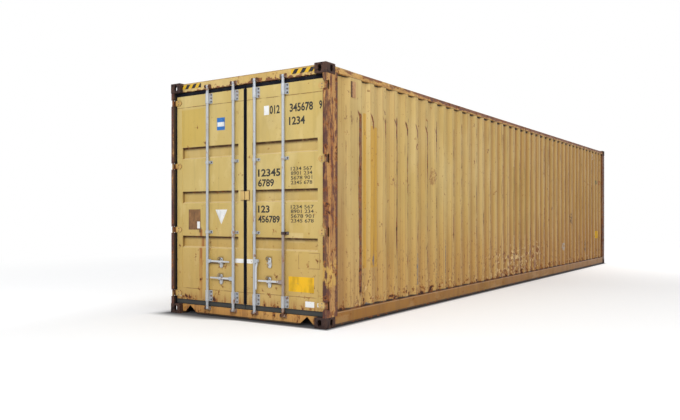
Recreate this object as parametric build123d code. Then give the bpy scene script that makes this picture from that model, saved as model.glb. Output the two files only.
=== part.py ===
from build123d import *
import os

# Forty-foot high-cube shipping container with double doors and four lock rods.
# Units are millimetres, +Z is up, the long axis is X and the door end faces -X.
# The origin is on the ground under the middle of the container.
# Depths called "in" are measured inboard from the end plane, depths called "deep" from the side plane.

# Overall size
LENGTH = 12192.0
WIDTH = 2438.0
HEIGHT = 2896.0

# Corner castings
CASTING_LENGTH = 178.0
CASTING_WIDTH = 162.0
CASTING_HEIGHT = 118.0
CASTING_WALL = 15.0
CASTING_SLOT_WALL = 28.5
CASTING_ROUND = 6.0
SLOT_IN = 103.5
SLOT_DEEP = 89.5
SLOT_LENGTH = 124.0
SLOT_WIDTH = 63.5
EYE_HEIGHT = 79.5
EYE_WIDTH = 51.0

# Levels of the base, the floor and the roof
GROUND_CLEARANCE = 15.0
CROSS_MEMBER_HEIGHT = 122.0
FLOOR_THICKNESS = 28.0
ROOF_DROP = 8.0
ROOF_RIB_RISE = 18.0

# Side rails
BOTTOM_RAIL_HEIGHT = 150.0
BOTTOM_RAIL_WALL = 4.5
BOTTOM_RAIL_TOP_FLANGE = 48.0
BOTTOM_RAIL_LOW_FLANGE = 30.0
TOP_RAIL_SIZE = 60.0
TOP_RAIL_WALL = 3.0
RAIL_DEEP = 6.0

# Corner posts
POST_DEEP = 4.0
POST_WALL = 6.0
DOOR_POST_IN = 6.0
DOOR_POST_BOX = 150.0
DOOR_POST_FACE = 45.0
DOOR_POST_SIDE = 216.0
FRONT_POST_IN = 4.0
FRONT_POST_SIDE = 174.0
FRONT_POST_FACE = 158.0

# Corrugated walls and roof
SHEET = 2.0
WALL_DEEP = 8.0
SIDE_WAVE_DEPTH = 36.0
SIDE_WAVE_OUTER = 72.0
SIDE_WAVE_INNER = 70.0
SIDE_WAVE_SLOPE = 68.0
FIRST_SLOPE_IN = 412.0
FIRST_FLAT = 226.0
FRONT_WALL_IN = 10.0
FRONT_WAVE_DEPTH = 45.0
FRONT_WAVE_OUTER = 110.0
FRONT_WAVE_INNER = 104.0
FRONT_WAVE_SLOPE = 18.0
ROOF_RIB_PITCH = 209.0
ROOF_RIB_WIDTH = 118.0
ROOF_RIB_SLOPE = 14.0
ROOF_PLAIN_END = 420.0
ROOF_RIB_MARGIN = 84.0
ROOF_GUARD_REACH = 300.0
ROOF_GUARD_WIDTH = 280.0
ROOF_GUARD_PLATE = 3.0

# Header and sill at the doors
FRAME_FACE_IN = 54.0
FRAME_DEPTH = 110.0
FRAME_WALL = 4.0
HEADER_HEIGHT = 103.0
HEADER_FLANGE = 30.0
SEAL_FACE_IN = 94.0
NOTCH_BASE = 244.0
NOTCH_HEIGHT = 95.0
NOTCH_FROM_CASTING = 147.0
NOTCH_SKEW = 11.0

# Header and sill at the closed end
END_BEAM_DEPTH = 60.0
END_HEADER_HEIGHT = 103.0
END_BEAM_WALL = 4.0

# Gooseneck tunnel and cross members
TUNNEL_LENGTH = 3315.0
TUNNEL_WIDTH = 1029.0
TUNNEL_PLATE = 4.0
CROSS_MEMBER_FLANGE = 44.0
CROSS_MEMBER_WALL = 4.0
CROSS_MEMBER_PITCH = 300.0

# Ventilators on the side walls
VENT_IN = 536.0
VENT_WIDTH = 92.0
VENT_HEIGHT = 183.0
VENT_UNDER_RAIL = 138.0
VENT_PROUD = 6.0
VENT_LOUVRES = 4

# Door leaves
LEAF_FACE_IN = 56.0
LEAF_THICKNESS = 50.0
LEAF_OVER_FLOOR = 9.5
LEAF_UNDER_FLANGE = 24.0
LEAF_GAP = 32.0
LEAF_OUTER_DEEP = 59.0
STILE_WIDTH = 94.0
LEAF_RAIL_HEIGHT = 141.0
STILE_WALL = 3.2
LEAF_RAIL_WALL = 3.0
PANEL_STEP = 3.0
PANEL_BAND_SHARES = (0.2837, 0.5008, 0.7179)
PANEL_BAND_HEIGHT = 146.0
PANEL_BAND_DEPTH = 36.0
PANEL_BAND_SLOPE = 16.0
PANEL_BEND = 8.0

# Rubber seal round each leaf
SEAL_REACH_HIGH = 41.0
SEAL_REACH_LOW = 55.0
SEAL_REACH_POST = 4.0
SEAL_REACH_CENTRE = 11.5
SEAL_START_IN = 57.0
SEAL_DEPTH = 29.0
SEAL_LIP = 6.0

# Hinges
HINGES = 4
HINGE_OVER_BOTTOM = 71.0
HINGE_UNDER_TOP = 79.0
PIN_IN = 22.0
PIN_DEEP = 20.0
PIN_RADIUS = 8.0
PIN_CLEARANCE = 0.08
KNUCKLE_RADIUS = 13.0
KNUCKLE_HEIGHT = 76.0
HINGE_POCKET_HEIGHT = 100.0
HINGE_POCKET_IN = 64.0
LUG_THICKNESS = 10.0
LUG_WIDTH = 36.0
LUG_DEPTH = 32.0
BLADE_THICKNESS = 8.0
BLADE_REACH = 84.0
BLADE_HEIGHT = 70.0
BLADE_POINT = 26.0

# Lock rods
ROD_FROM_OUTER_EDGE = 562.0
ROD_FROM_INNER_EDGE = 152.0
ROD_IN = 28.0
ROD_RADIUS = 17.0
ROD_PAST_LEAF = 95.0
ROD_CLEARANCE = 0.8
CAM_HEIGHT = 30.0
CAM_HUB_RADIUS = 19.0
CAM_REACH = 25.0
CAM_NOSE_WIDTH = 22.0
CAM_NOSE_HEIGHT = 20.0
CAM_CHAMFER = 4.0
CAM_COLLAR_HEIGHT = 10.0
KEEPER_GAP = 30.0
KEEPER_THICKNESS = 7.0
KEEPER_HEIGHT = 46.0
KEEPER_FRONT_IN = 8.0
KEEPER_BACK = 3.0
KEEPER_CHAMFER = 14.0

# Rod brackets on the leaves
BRACKET_RADIUS = 23.5
BRACKET_FOOT = 8.0
BRACKET_WIDE = 64.0
BRACKET_EAR = 30.0
BRACKET_ROUND = 10.0
TOP_BRACKET_HEIGHT = 124.0
LOW_BRACKET_HEIGHT = 132.0
BRACKET_FROM_END = 6.0
GUIDE_SHARES = (0.3335, 0.6665)
GUIDE_HEIGHT = 34.0

# Handles
HANDLE_SHARES = (0.1947, 0.1164, 0.2049, 0.1164)
HANDLE_DIRECTION = (-1, 1, -1, 1)
HANDLE_HANGS = (False, False, True, False)
HANDLE_LENGTH = 330.0
HANDLE_HEIGHT = 24.0
HANDLE_TIP_HEIGHT = 18.0
HANDLE_THICKNESS = 10.0
HANDLE_CENTRE_IN = 23.0
HANDLE_ROOT_RADIUS = 16.0
HANDLE_BEND = 17.0
HANDLE_BEND_START = 24.0
HANDLE_BEND_END = 78.0
PIVOT_REACH = 44.0
PIVOT_RADIUS = 6.0
HUB_EAR = 6.0
HUB_SIDE_GAP = 1.0
HUB_HEIGHT = 44.0

# Handle retainers and the plate over the gap between the leaves
RETAINER_REACH = 216.0
RETAINER_WIDTH = 45.0
RETAINER_HEIGHT = 122.0
RETAINER_TOP_OVER = 44.0
RETAINER_PLATE = 6.0
RETAINER_STAND_OFF = 8.0
RETAINER_SHELF_GAP = 2.0
RETAINER_SHELF = 6.0
RETAINER_HOLE = 9.0
RETAINER_LOW_HOLE = 6.0
CENTRE_PLATE_SHARE = 0.5043
CENTRE_PLATE_HEIGHT = 100.0
CENTRE_PLATE_REACH = 66.0
CENTRE_PLATE_THICKNESS = 10.0
CENTRE_PLATE_GAP = 9.0

# Sizes that follow from the ones above
HALF_LENGTH = LENGTH / 2
HALF_WIDTH = WIDTH / 2
CROSS_MEMBER_BOTTOM = GROUND_CLEARANCE + BOTTOM_RAIL_WALL
FLOOR_BOTTOM = CROSS_MEMBER_BOTTOM + CROSS_MEMBER_HEIGHT
FLOOR_TOP = FLOOR_BOTTOM + FLOOR_THICKNESS
BOTTOM_RAIL_TOP = GROUND_CLEARANCE + BOTTOM_RAIL_HEIGHT
ROOF_PEAK = HEIGHT - ROOF_DROP
ROOF_BASE = ROOF_PEAK - ROOF_RIB_RISE - SHEET
TOP_RAIL_BOTTOM = ROOF_BASE - TOP_RAIL_SIZE
POST_BOTTOM = CASTING_HEIGHT
POST_TOP = HEIGHT - CASTING_HEIGHT
WALL_INNER_DEEP = WALL_DEEP + SIDE_WAVE_DEPTH
DOOR_POST_END = DOOR_POST_IN + DOOR_POST_SIDE
FRONT_POST_END = FRONT_POST_IN + FRONT_POST_SIDE
FRAME_BACK_IN = FRAME_FACE_IN + FRAME_DEPTH
END_BEAM_BACK = FRONT_POST_IN + END_BEAM_DEPTH
HEADER_BOTTOM = ROOF_PEAK - HEADER_HEIGHT
DOORWAY_TOP = HEADER_BOTTOM - HEADER_FLANGE
END_HEADER_BOTTOM = ROOF_PEAK - END_HEADER_HEIGHT
LEAF_BOTTOM = FLOOR_TOP + LEAF_OVER_FLOOR
LEAF_TOP = DOORWAY_TOP - LEAF_UNDER_FLANGE
LEAF_INNER_Y = LEAF_GAP / 2
LEAF_OUTER_Y = HALF_WIDTH - LEAF_OUTER_DEEP
LEAF_BACK_IN = LEAF_FACE_IN + LEAF_THICKNESS
PANEL_FACE_IN = LEAF_FACE_IN + PANEL_STEP
BETWEEN_CASTINGS = HALF_WIDTH - CASTING_WIDTH
FLOOR_SIDE_DEEP = RAIL_DEEP + BOTTOM_RAIL_TOP_FLANGE + 2 * SHEET


def leaf_level(share):
    """A height on the leaves from its share of their height, to the nearest millimetre."""
    return float(round(LEAF_BOTTOM + share * (LEAF_TOP - LEAF_BOTTOM)))


HINGE_SPACING = (LEAF_TOP - LEAF_BOTTOM - HINGE_OVER_BOTTOM - HINGE_UNDER_TOP) / (HINGES - 1)
HINGE_Z = [LEAF_BOTTOM + HINGE_OVER_BOTTOM + number * HINGE_SPACING for number in range(HINGES)]
PANEL_BANDS_Z = [leaf_level(share) for share in PANEL_BAND_SHARES]
CENTRE_PLATE_Z = leaf_level(CENTRE_PLATE_SHARE)
ROD_OUTER_Y = LEAF_OUTER_Y - ROD_FROM_OUTER_EDGE
ROD_INNER_Y = LEAF_INNER_Y + ROD_FROM_INNER_EDGE
ROD_Y = (ROD_OUTER_Y, ROD_INNER_Y, -ROD_INNER_Y, -ROD_OUTER_Y)
ROD_BOTTOM = LEAF_BOTTOM - ROD_PAST_LEAF
ROD_TOP = LEAF_TOP + ROD_PAST_LEAF
LOW_BRACKET_START = LEAF_BOTTOM + BRACKET_FROM_END
LOW_BRACKET_Z = (LOW_BRACKET_START, LOW_BRACKET_START + LOW_BRACKET_HEIGHT)
TOP_BRACKET_END = LEAF_TOP - BRACKET_FROM_END
TOP_BRACKET_Z = (TOP_BRACKET_END - TOP_BRACKET_HEIGHT, TOP_BRACKET_END)
GUIDE_Z = [leaf_level(share) for share in GUIDE_SHARES]
HANDLE_Z = [leaf_level(share) for share in HANDLE_SHARES]


def block(x_low, x_high, y_low, y_high, z_low, z_high):
    """A box between two corners."""
    size = (abs(x_high - x_low), abs(y_high - y_low), abs(z_high - z_low))
    middle = Pos((x_low + x_high) / 2, (y_low + y_high) / 2, (z_low + z_high) / 2)
    return middle * Box(*size)


def door_block(in_low, in_high, y_low, y_high, z_low, z_high):
    """A box whose X range is given inboard from the door end."""
    return block(in_low - HALF_LENGTH, in_high - HALF_LENGTH, y_low, y_high, z_low, z_high)


def front_block(in_low, in_high, y_low, y_high, z_low, z_high):
    """A box whose X range is given inboard from the closed end."""
    return block(HALF_LENGTH - in_high, HALF_LENGTH - in_low, y_low, y_high, z_low, z_high)


def door_corner(in_low, in_high, deep_low, deep_high, z_low, z_high):
    """A box at the door end's left corner, in depths from the end plane and the side plane."""
    return door_block(in_low, in_high, HALF_WIDTH - deep_high, HALF_WIDTH - deep_low, z_low, z_high)


def front_corner(in_low, in_high, deep_low, deep_high, z_low, z_high):
    """A box at the closed end's left corner, in depths from the end plane and the side plane."""
    return front_block(in_low, in_high, HALF_WIDTH - deep_high, HALF_WIDTH - deep_low, z_low, z_high)


def upright(radius, x, y, z_low, z_high):
    """A cylinder standing along Z."""
    return Pos(x, y, (z_low + z_high) / 2) * Cylinder(radius, z_high - z_low)


def along_x(radius, x_low, x_high, y, z):
    """A cylinder lying along X."""
    turned = Rot(0, 90, 0) * Cylinder(radius, x_high - x_low)
    return Pos((x_low + x_high) / 2, y, z) * turned


def prism(points, plane, distance):
    """A closed outline on a plane, drawn out along the plane's normal."""
    outline = make_face(plane * Polyline(*points, close=True))
    return extrude(outline, amount=distance, dir=plane.z_dir)


def joined(solids):
    """All solids fused into one shape."""
    first = solids[0]
    rest = solids[1:]
    return first.fuse(*rest) if rest else first


def right_hand(part):
    """The same piece on the other side of the container."""
    return part.mirror(Plane.XZ)


def folded_sheet(line, thickness):
    """A folded sheet's outline from the points of its outer face."""
    back = [(along, deep + thickness) for along, deep in reversed(line)]
    return line + back


def bent_sheet(line, thickness, radius, plane, distance):
    """A sheet folded along a line with rounded bends, drawn out along the plane's normal."""
    outline = make_face(Polyline(*folded_sheet(line, thickness), close=True))
    ends = (line[0][0], line[-1][0])
    bends = [corner for corner in outline.vertices()
             if min(abs(corner.X - end) for end in ends) > thickness]
    return extrude(plane * fillet(bends, radius), amount=distance, dir=plane.z_dir)


def stadium(length, width, depth, plane):
    """A slot cutter with round ends, its length along the plane's X."""
    return extrude(plane * SlotOverall(length, width), amount=depth / 2, both=True)


def casting(toward_end, toward_side, bottom):
    """One hollow corner casting with a slot above or below and an eye in each outer face."""
    x_middle = toward_end * (HALF_LENGTH - CASTING_LENGTH / 2)
    y_middle = toward_side * (HALF_WIDTH - CASTING_WIDTH / 2)
    z_low = 0.0 if bottom else HEIGHT - CASTING_HEIGHT
    body = Pos(x_middle, y_middle, z_low + CASTING_HEIGHT / 2) * Box(
        CASTING_LENGTH, CASTING_WIDTH, CASTING_HEIGHT)
    body = fillet(body.edges(), CASTING_ROUND)
    low_wall = CASTING_SLOT_WALL if bottom else CASTING_WALL
    high_wall = CASTING_WALL if bottom else CASTING_SLOT_WALL
    cavity = block(x_middle - CASTING_LENGTH / 2 + CASTING_WALL,
                   x_middle + CASTING_LENGTH / 2 - CASTING_WALL,
                   y_middle - CASTING_WIDTH / 2 + CASTING_WALL,
                   y_middle + CASTING_WIDTH / 2 - CASTING_WALL,
                   z_low + low_wall, z_low + CASTING_HEIGHT - high_wall)
    slot_x = toward_end * (HALF_LENGTH - SLOT_IN)
    slot_y = toward_side * (HALF_WIDTH - SLOT_DEEP)
    slot_z = z_low + low_wall / 2 if bottom else z_low + CASTING_HEIGHT - high_wall / 2
    eye_z = z_low + CASTING_HEIGHT / 2
    slot = stadium(SLOT_LENGTH, SLOT_WIDTH, CASTING_SLOT_WALL * 1.5, Plane((slot_x, slot_y, slot_z)))
    side_plane = Plane((slot_x, toward_side * (HALF_WIDTH - CASTING_WALL / 2), eye_z),
                       x_dir=(0, 0, 1), z_dir=(0, 1, 0))
    end_plane = Plane((toward_end * (HALF_LENGTH - CASTING_WALL / 2), slot_y, eye_z),
                      x_dir=(0, 0, 1), z_dir=(1, 0, 0))
    side_eye = stadium(EYE_HEIGHT, EYE_WIDTH, CASTING_WALL * 2, side_plane)
    end_eye = stadium(EYE_HEIGHT, EYE_WIDTH, CASTING_WALL * 2, end_plane)
    return body.cut(cavity, slot, side_eye, end_eye)


def castings_at(toward_end, bottom):
    """The pair of castings at one end and level."""
    return [casting(toward_end, 1, bottom), casting(toward_end, -1, bottom)]


def door_post():
    """The left post at the doors: a box, a side plate and a return to the corrugated wall."""
    box_end = DOOR_POST_IN + DOOR_POST_BOX
    inner = POST_DEEP + DOOR_POST_FACE
    shell = door_corner(DOOR_POST_IN, box_end, POST_DEEP, inner, POST_BOTTOM, POST_TOP)
    hollow = door_corner(DOOR_POST_IN + POST_WALL, box_end - POST_WALL,
                         POST_DEEP + POST_WALL, inner - POST_WALL, POST_BOTTOM, POST_TOP)
    side = door_corner(box_end, CASTING_LENGTH, POST_DEEP, POST_DEEP + POST_WALL,
                       POST_BOTTOM, POST_TOP)
    back = door_corner(CASTING_LENGTH, DOOR_POST_END, POST_DEEP, POST_DEEP + POST_WALL,
                       POST_BOTTOM, TOP_RAIL_BOTTOM)
    turn = door_corner(DOOR_POST_END - POST_WALL, DOOR_POST_END, POST_DEEP,
                       WALL_INNER_DEEP + SHEET, BOTTOM_RAIL_TOP, TOP_RAIL_BOTTOM)
    post = shell.cut(hollow).fuse(side, back, turn)
    half = HINGE_POCKET_HEIGHT / 2
    pockets = [door_corner(0, HINGE_POCKET_IN, 0, inner, z - half, z + half) for z in HINGE_Z]
    return post.cut(*pockets)


def front_post():
    """The left post at the closed end, pressed from one plate."""
    low, high = POST_BOTTOM, POST_TOP
    face_end = POST_DEEP + FRONT_POST_FACE
    side = front_corner(FRONT_POST_IN, FRONT_POST_END, POST_DEEP, POST_DEEP + POST_WALL, low, high)
    face = front_corner(FRONT_POST_IN, FRONT_POST_IN + POST_WALL, POST_DEEP, face_end, low, high)
    side_turn = front_corner(FRONT_POST_END - POST_WALL, FRONT_POST_END, POST_DEEP,
                             WALL_INNER_DEEP + SHEET, low, high)
    face_turn = front_corner(FRONT_POST_IN, FRONT_WALL_IN + FRONT_WAVE_DEPTH + SHEET,
                             face_end - POST_WALL, face_end, low, high)
    return joined([side, face, side_turn, face_turn])


def top_rail():
    """The left top rail, a square tube between the castings."""
    tube = block(-HALF_LENGTH + CASTING_LENGTH, HALF_LENGTH - CASTING_LENGTH,
                 HALF_WIDTH - RAIL_DEEP - TOP_RAIL_SIZE, HALF_WIDTH - RAIL_DEEP,
                 TOP_RAIL_BOTTOM, ROOF_BASE)
    bore = block(-HALF_LENGTH, HALF_LENGTH,
                 HALF_WIDTH - RAIL_DEEP - TOP_RAIL_SIZE + TOP_RAIL_WALL,
                 HALF_WIDTH - RAIL_DEEP - TOP_RAIL_WALL,
                 TOP_RAIL_BOTTOM + TOP_RAIL_WALL, ROOF_BASE - TOP_RAIL_WALL)
    return tube.cut(bore)


def bottom_rail():
    """The left bottom rail, a channel with its flanges turned inward."""
    outer = HALF_WIDTH - RAIL_DEEP
    wall = BOTTOM_RAIL_WALL
    profile = [(outer, GROUND_CLEARANCE), (outer, BOTTOM_RAIL_TOP),
               (outer - BOTTOM_RAIL_TOP_FLANGE, BOTTOM_RAIL_TOP),
               (outer - BOTTOM_RAIL_TOP_FLANGE, BOTTOM_RAIL_TOP - wall),
               (outer - wall, BOTTOM_RAIL_TOP - wall), (outer - wall, GROUND_CLEARANCE + wall),
               (outer - BOTTOM_RAIL_LOW_FLANGE, GROUND_CLEARANCE + wall),
               (outer - BOTTOM_RAIL_LOW_FLANGE, GROUND_CLEARANCE)]
    start = -HALF_LENGTH + CASTING_LENGTH
    rail = prism(profile, Plane((start, 0, 0), x_dir=(0, 1, 0), z_dir=(1, 0, 0)),
                 LENGTH - 2 * CASTING_LENGTH)
    door_step = door_corner(0, DOOR_POST_END, 0, CASTING_WIDTH, POST_BOTTOM, HEIGHT)
    return rail.cut(door_step)


def side_wall():
    """The left side wall, one corrugated sheet from post to post."""
    wave = SIDE_WAVE_OUTER + SIDE_WAVE_INNER + 2 * SIDE_WAVE_SLOPE
    end = LENGTH - FRONT_POST_END
    line = [(DOOR_POST_END, WALL_INNER_DEEP), (FIRST_SLOPE_IN, WALL_INNER_DEEP)]
    flat_start = FIRST_SLOPE_IN + SIDE_WAVE_SLOPE
    flat_end = flat_start + FIRST_FLAT
    line += [(flat_start, WALL_DEEP), (flat_end, WALL_DEEP)]
    while flat_end + wave + SIDE_WAVE_SLOPE < end:
        line.append((flat_end + SIDE_WAVE_SLOPE, WALL_INNER_DEEP))
        line.append((flat_end + SIDE_WAVE_SLOPE + SIDE_WAVE_INNER, WALL_INNER_DEEP))
        flat_end += wave
        line.append((flat_end - SIDE_WAVE_OUTER, WALL_DEEP))
        line.append((flat_end, WALL_DEEP))
    line += [(flat_end + SIDE_WAVE_SLOPE, WALL_INNER_DEEP), (end, WALL_INNER_DEEP)]
    outline = [(along - HALF_LENGTH, HALF_WIDTH - deep) for along, deep in folded_sheet(line, SHEET)]
    return prism(outline, Plane((0, 0, BOTTOM_RAIL_TOP)), TOP_RAIL_BOTTOM - BOTTOM_RAIL_TOP)


def front_wall():
    """The closed end's wall, a deep corrugated sheet between the front posts."""
    wave = FRONT_WAVE_OUTER + FRONT_WAVE_INNER + 2 * FRONT_WAVE_SLOPE
    reach = HALF_WIDTH - POST_DEEP - FRONT_POST_FACE
    inner_in = FRONT_WALL_IN + FRONT_WAVE_DEPTH
    waves = int(2 * reach // wave)
    first = -(waves * wave - FRONT_WAVE_INNER) / 2
    line = [(-reach, inner_in)]
    for number in range(waves):
        start = first + number * wave
        line.append((start, inner_in))
        line.append((start + FRONT_WAVE_SLOPE, FRONT_WALL_IN))
        line.append((start + FRONT_WAVE_SLOPE + FRONT_WAVE_OUTER, FRONT_WALL_IN))
        line.append((start + 2 * FRONT_WAVE_SLOPE + FRONT_WAVE_OUTER, inner_in))
    line.append((reach, inner_in))
    outline = [(HALF_LENGTH - deep, along) for along, deep in folded_sheet(line, SHEET)]
    return prism(outline, Plane((0, 0, FLOOR_TOP)), END_HEADER_BOTTOM - FLOOR_TOP)


def roof_rib(x_middle):
    """One raised rib across the roof and the same rib one sheet lower."""
    half_wide = ROOF_RIB_WIDTH / 2
    half_long = HALF_WIDTH - RAIL_DEEP - ROOF_RIB_MARGIN
    base = Plane((x_middle, 0, ROOF_BASE + SHEET)) * Rectangle(2 * half_wide, 2 * half_long)
    crest = Plane((x_middle, 0, ROOF_PEAK)) * Rectangle(
        2 * (half_wide - ROOF_RIB_SLOPE), 2 * (half_long - ROOF_RIB_SLOPE))
    rib = loft([base, crest])
    return rib, Pos(0, 0, -SHEET) * rib


def roof():
    """The roof sheet with its raised ribs."""
    plate = block(-HALF_LENGTH + FRAME_BACK_IN, HALF_LENGTH - END_BEAM_BACK,
                  -HALF_WIDTH + RAIL_DEEP, HALF_WIDTH - RAIL_DEEP, ROOF_BASE, ROOF_BASE + SHEET)
    notches = [door_corner(0, CASTING_LENGTH, 0, CASTING_WIDTH, 0, HEIGHT),
               front_corner(0, CASTING_LENGTH, 0, CASTING_WIDTH, 0, HEIGHT)]
    notches += [right_hand(notch) for notch in notches]
    span = LENGTH - 2 * ROOF_PLAIN_END
    count = int(span // ROOF_RIB_PITCH)
    first = -(count - 1) * ROOF_RIB_PITCH / 2
    ribs = [roof_rib(first + number * ROOF_RIB_PITCH) for number in range(count)]
    return plate.fuse(*[rib for rib, _ in ribs]).cut(*[hollow for _, hollow in ribs], *notches)


def roof_guard(toward_end, inner_in):
    """The left plate that guards the roof round one top casting, from the end beam inboard."""
    outer_in = CASTING_LENGTH + ROOF_GUARD_REACH
    x_ends = [toward_end * (HALF_LENGTH - depth) for depth in (inner_in, outer_in)]
    top = ROOF_BASE + SHEET
    plate = block(min(x_ends), max(x_ends), HALF_WIDTH - ROOF_GUARD_WIDTH, HALF_WIDTH - RAIL_DEEP,
                  top, top + ROOF_GUARD_PLATE)
    corner = block(toward_end * (HALF_LENGTH - CASTING_LENGTH), toward_end * HALF_LENGTH,
                   HALF_WIDTH - CASTING_WIDTH, HALF_WIDTH, top, HEIGHT)
    return plate.cut(corner)


def roof_guards():
    """The four guard plates beside the top castings."""
    left = [roof_guard(-1, FRAME_BACK_IN), roof_guard(1, END_BEAM_BACK)]
    return left + [right_hand(plate) for plate in left]


def door_header():
    """The beam over the doors, a box with a flange that backs the seal."""
    top = ROOF_PEAK
    wall = FRAME_WALL
    shell = door_block(FRAME_FACE_IN, FRAME_BACK_IN, -BETWEEN_CASTINGS, BETWEEN_CASTINGS,
                       HEADER_BOTTOM, top)
    hollow = door_block(FRAME_FACE_IN + wall, FRAME_BACK_IN - wall, -HALF_WIDTH, HALF_WIDTH,
                        HEADER_BOTTOM + wall, top - wall)
    flange = door_block(SEAL_FACE_IN, SEAL_FACE_IN + wall, -BETWEEN_CASTINGS, BETWEEN_CASTINGS,
                        DOORWAY_TOP, HEADER_BOTTOM)
    return shell.cut(hollow).fuse(flange)


def door_sill():
    """The beam under the doors: a stepped plate with a three-cornered gap beside each casting."""
    wall = FRAME_WALL
    step = CASTING_HEIGHT
    pieces = [
        door_block(FRAME_FACE_IN, FRAME_FACE_IN + wall, -BETWEEN_CASTINGS, BETWEEN_CASTINGS,
                   GROUND_CLEARANCE, step),
        door_block(FRAME_FACE_IN, SEAL_FACE_IN + wall, -BETWEEN_CASTINGS, BETWEEN_CASTINGS,
                   step - wall, step),
        door_block(SEAL_FACE_IN, SEAL_FACE_IN + wall, -BETWEEN_CASTINGS, BETWEEN_CASTINGS,
                   step - wall, FLOOR_TOP),
        door_block(SEAL_FACE_IN, FRAME_BACK_IN, -BETWEEN_CASTINGS, BETWEEN_CASTINGS,
                   FLOOR_TOP - wall, FLOOR_TOP),
        door_block(FRAME_BACK_IN - wall, FRAME_BACK_IN, -BETWEEN_CASTINGS, BETWEEN_CASTINGS,
                   GROUND_CLEARANCE, FLOOR_TOP),
    ]
    sill = joined(pieces)
    for side in (1, -1):
        middle = side * (BETWEEN_CASTINGS - NOTCH_FROM_CASTING)
        apex = middle + side * NOTCH_SKEW
        points = [(middle - NOTCH_BASE / 2, 0), (middle + NOTCH_BASE / 2, 0),
                  (apex, GROUND_CLEARANCE + NOTCH_HEIGHT)]
        plane = Plane((-HALF_LENGTH, 0, 0), x_dir=(0, 1, 0), z_dir=(1, 0, 0))
        sill = sill.cut(prism(points, plane, FRAME_FACE_IN + 2 * wall))
    return sill


def end_header():
    """The beam over the closed end."""
    wall = END_BEAM_WALL
    shell = front_block(FRONT_POST_IN, END_BEAM_BACK, -BETWEEN_CASTINGS, BETWEEN_CASTINGS,
                        END_HEADER_BOTTOM, ROOF_PEAK)
    hollow = front_block(FRONT_POST_IN + wall, END_BEAM_BACK - wall, -HALF_WIDTH, HALF_WIDTH,
                         END_HEADER_BOTTOM + wall, ROOF_PEAK - wall)
    return shell.cut(hollow)


def end_sill():
    """The beam under the closed end, open under the tunnel."""
    wall = END_BEAM_WALL
    shell = front_block(FRONT_POST_IN, END_BEAM_BACK, -BETWEEN_CASTINGS, BETWEEN_CASTINGS,
                        GROUND_CLEARANCE, FLOOR_TOP)
    hollow = front_block(FRONT_POST_IN + wall, END_BEAM_BACK - wall, -HALF_WIDTH, HALF_WIDTH,
                         GROUND_CLEARANCE + wall, FLOOR_TOP - wall)
    half = TUNNEL_WIDTH / 2 + TUNNEL_PLATE
    passage = front_block(0, CASTING_LENGTH, -half, half, 0, FLOOR_BOTTOM)
    return shell.cut(hollow, passage)


def tunnel():
    """The gooseneck tunnel, a long folded plate under the floor."""
    half = TUNNEL_WIDTH / 2
    plate = TUNNEL_PLATE
    outer = front_block(FRONT_POST_IN, TUNNEL_LENGTH, -half - plate, half + plate,
                        CROSS_MEMBER_BOTTOM, FLOOR_BOTTOM)
    passage = front_block(0, TUNNEL_LENGTH - plate, -half, half, 0, FLOOR_BOTTOM - plate)
    return outer.cut(passage)


def cross_member(x_middle, y_low, y_high):
    """One channel that carries the floor."""
    low = CROSS_MEMBER_BOTTOM
    half = CROSS_MEMBER_FLANGE / 2
    outer = block(x_middle - half, x_middle + half, y_low, y_high, low, FLOOR_BOTTOM)
    wall = CROSS_MEMBER_WALL
    inner = block(x_middle - half + wall, x_middle + half, y_low, y_high,
                  low + wall, FLOOR_BOTTOM - wall)
    return outer.cut(inner)


def cross_members():
    """The channels from rail to rail, in two halves beside the tunnel."""
    reach = HALF_WIDTH - RAIL_DEEP - BOTTOM_RAIL_WALL
    tunnel_side = TUNNEL_WIDTH / 2 + TUNNEL_PLATE
    first = -HALF_LENGTH + FRAME_BACK_IN + CROSS_MEMBER_PITCH
    last = HALF_LENGTH - CASTING_LENGTH - CROSS_MEMBER_FLANGE
    tunnel_start = HALF_LENGTH - TUNNEL_LENGTH
    members = []
    x = first
    while x < last:
        if x + CROSS_MEMBER_FLANGE < tunnel_start:
            members.append(cross_member(x, -reach, reach))
        elif x - CROSS_MEMBER_FLANGE > tunnel_start:
            members.append(cross_member(x, tunnel_side, reach))
            members.append(cross_member(x, -reach, -tunnel_side))
        x += CROSS_MEMBER_PITCH
    return members


def floor_boards():
    """The floor, from the sill's step to the closed end's wall."""
    side = HALF_WIDTH - FLOOR_SIDE_DEEP
    return block(-HALF_LENGTH + FRAME_BACK_IN, HALF_LENGTH - END_BEAM_BACK, -side, side,
                 FLOOR_BOTTOM, FLOOR_TOP)


def ventilator():
    """A small louvred cover on the left wall's wide flat near the doors."""
    half = VENT_WIDTH / 2
    high = TOP_RAIL_BOTTOM - VENT_UNDER_RAIL + VENT_HEIGHT / 2
    low = high - VENT_HEIGHT
    cover = door_corner(VENT_IN - half, VENT_IN + half, WALL_DEEP - VENT_PROUD, WALL_DEEP, low, high)
    pitch = VENT_HEIGHT / (VENT_LOUVRES + 1)
    grooves = []
    for number in range(VENT_LOUVRES):
        z = low + pitch * (number + 1)
        grooves.append(door_corner(VENT_IN - half * 0.7, VENT_IN + half * 0.7, 0,
                                   WALL_DEEP - VENT_PROUD / 2, z - pitch / 5, z + pitch / 5))
    return cover.cut(*grooves)


def hinge_lugs():
    """The left post's hinge lugs, each pair with its pin."""
    x = PIN_IN - HALF_LENGTH
    y = HALF_WIDTH - PIN_DEEP
    half = HINGE_POCKET_HEIGHT / 2
    solids = []
    for z in HINGE_Z:
        pin = upright(PIN_RADIUS, x, y, z - half, z + half)
        lugs = [door_corner(DOOR_POST_IN, DOOR_POST_IN + LUG_DEPTH, POST_DEEP, POST_DEEP + LUG_WIDTH,
                            low, low + LUG_THICKNESS) for low in (z - half, z + half - LUG_THICKNESS)]
        solids.append(joined([pin] + lugs))
    return solids


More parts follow.
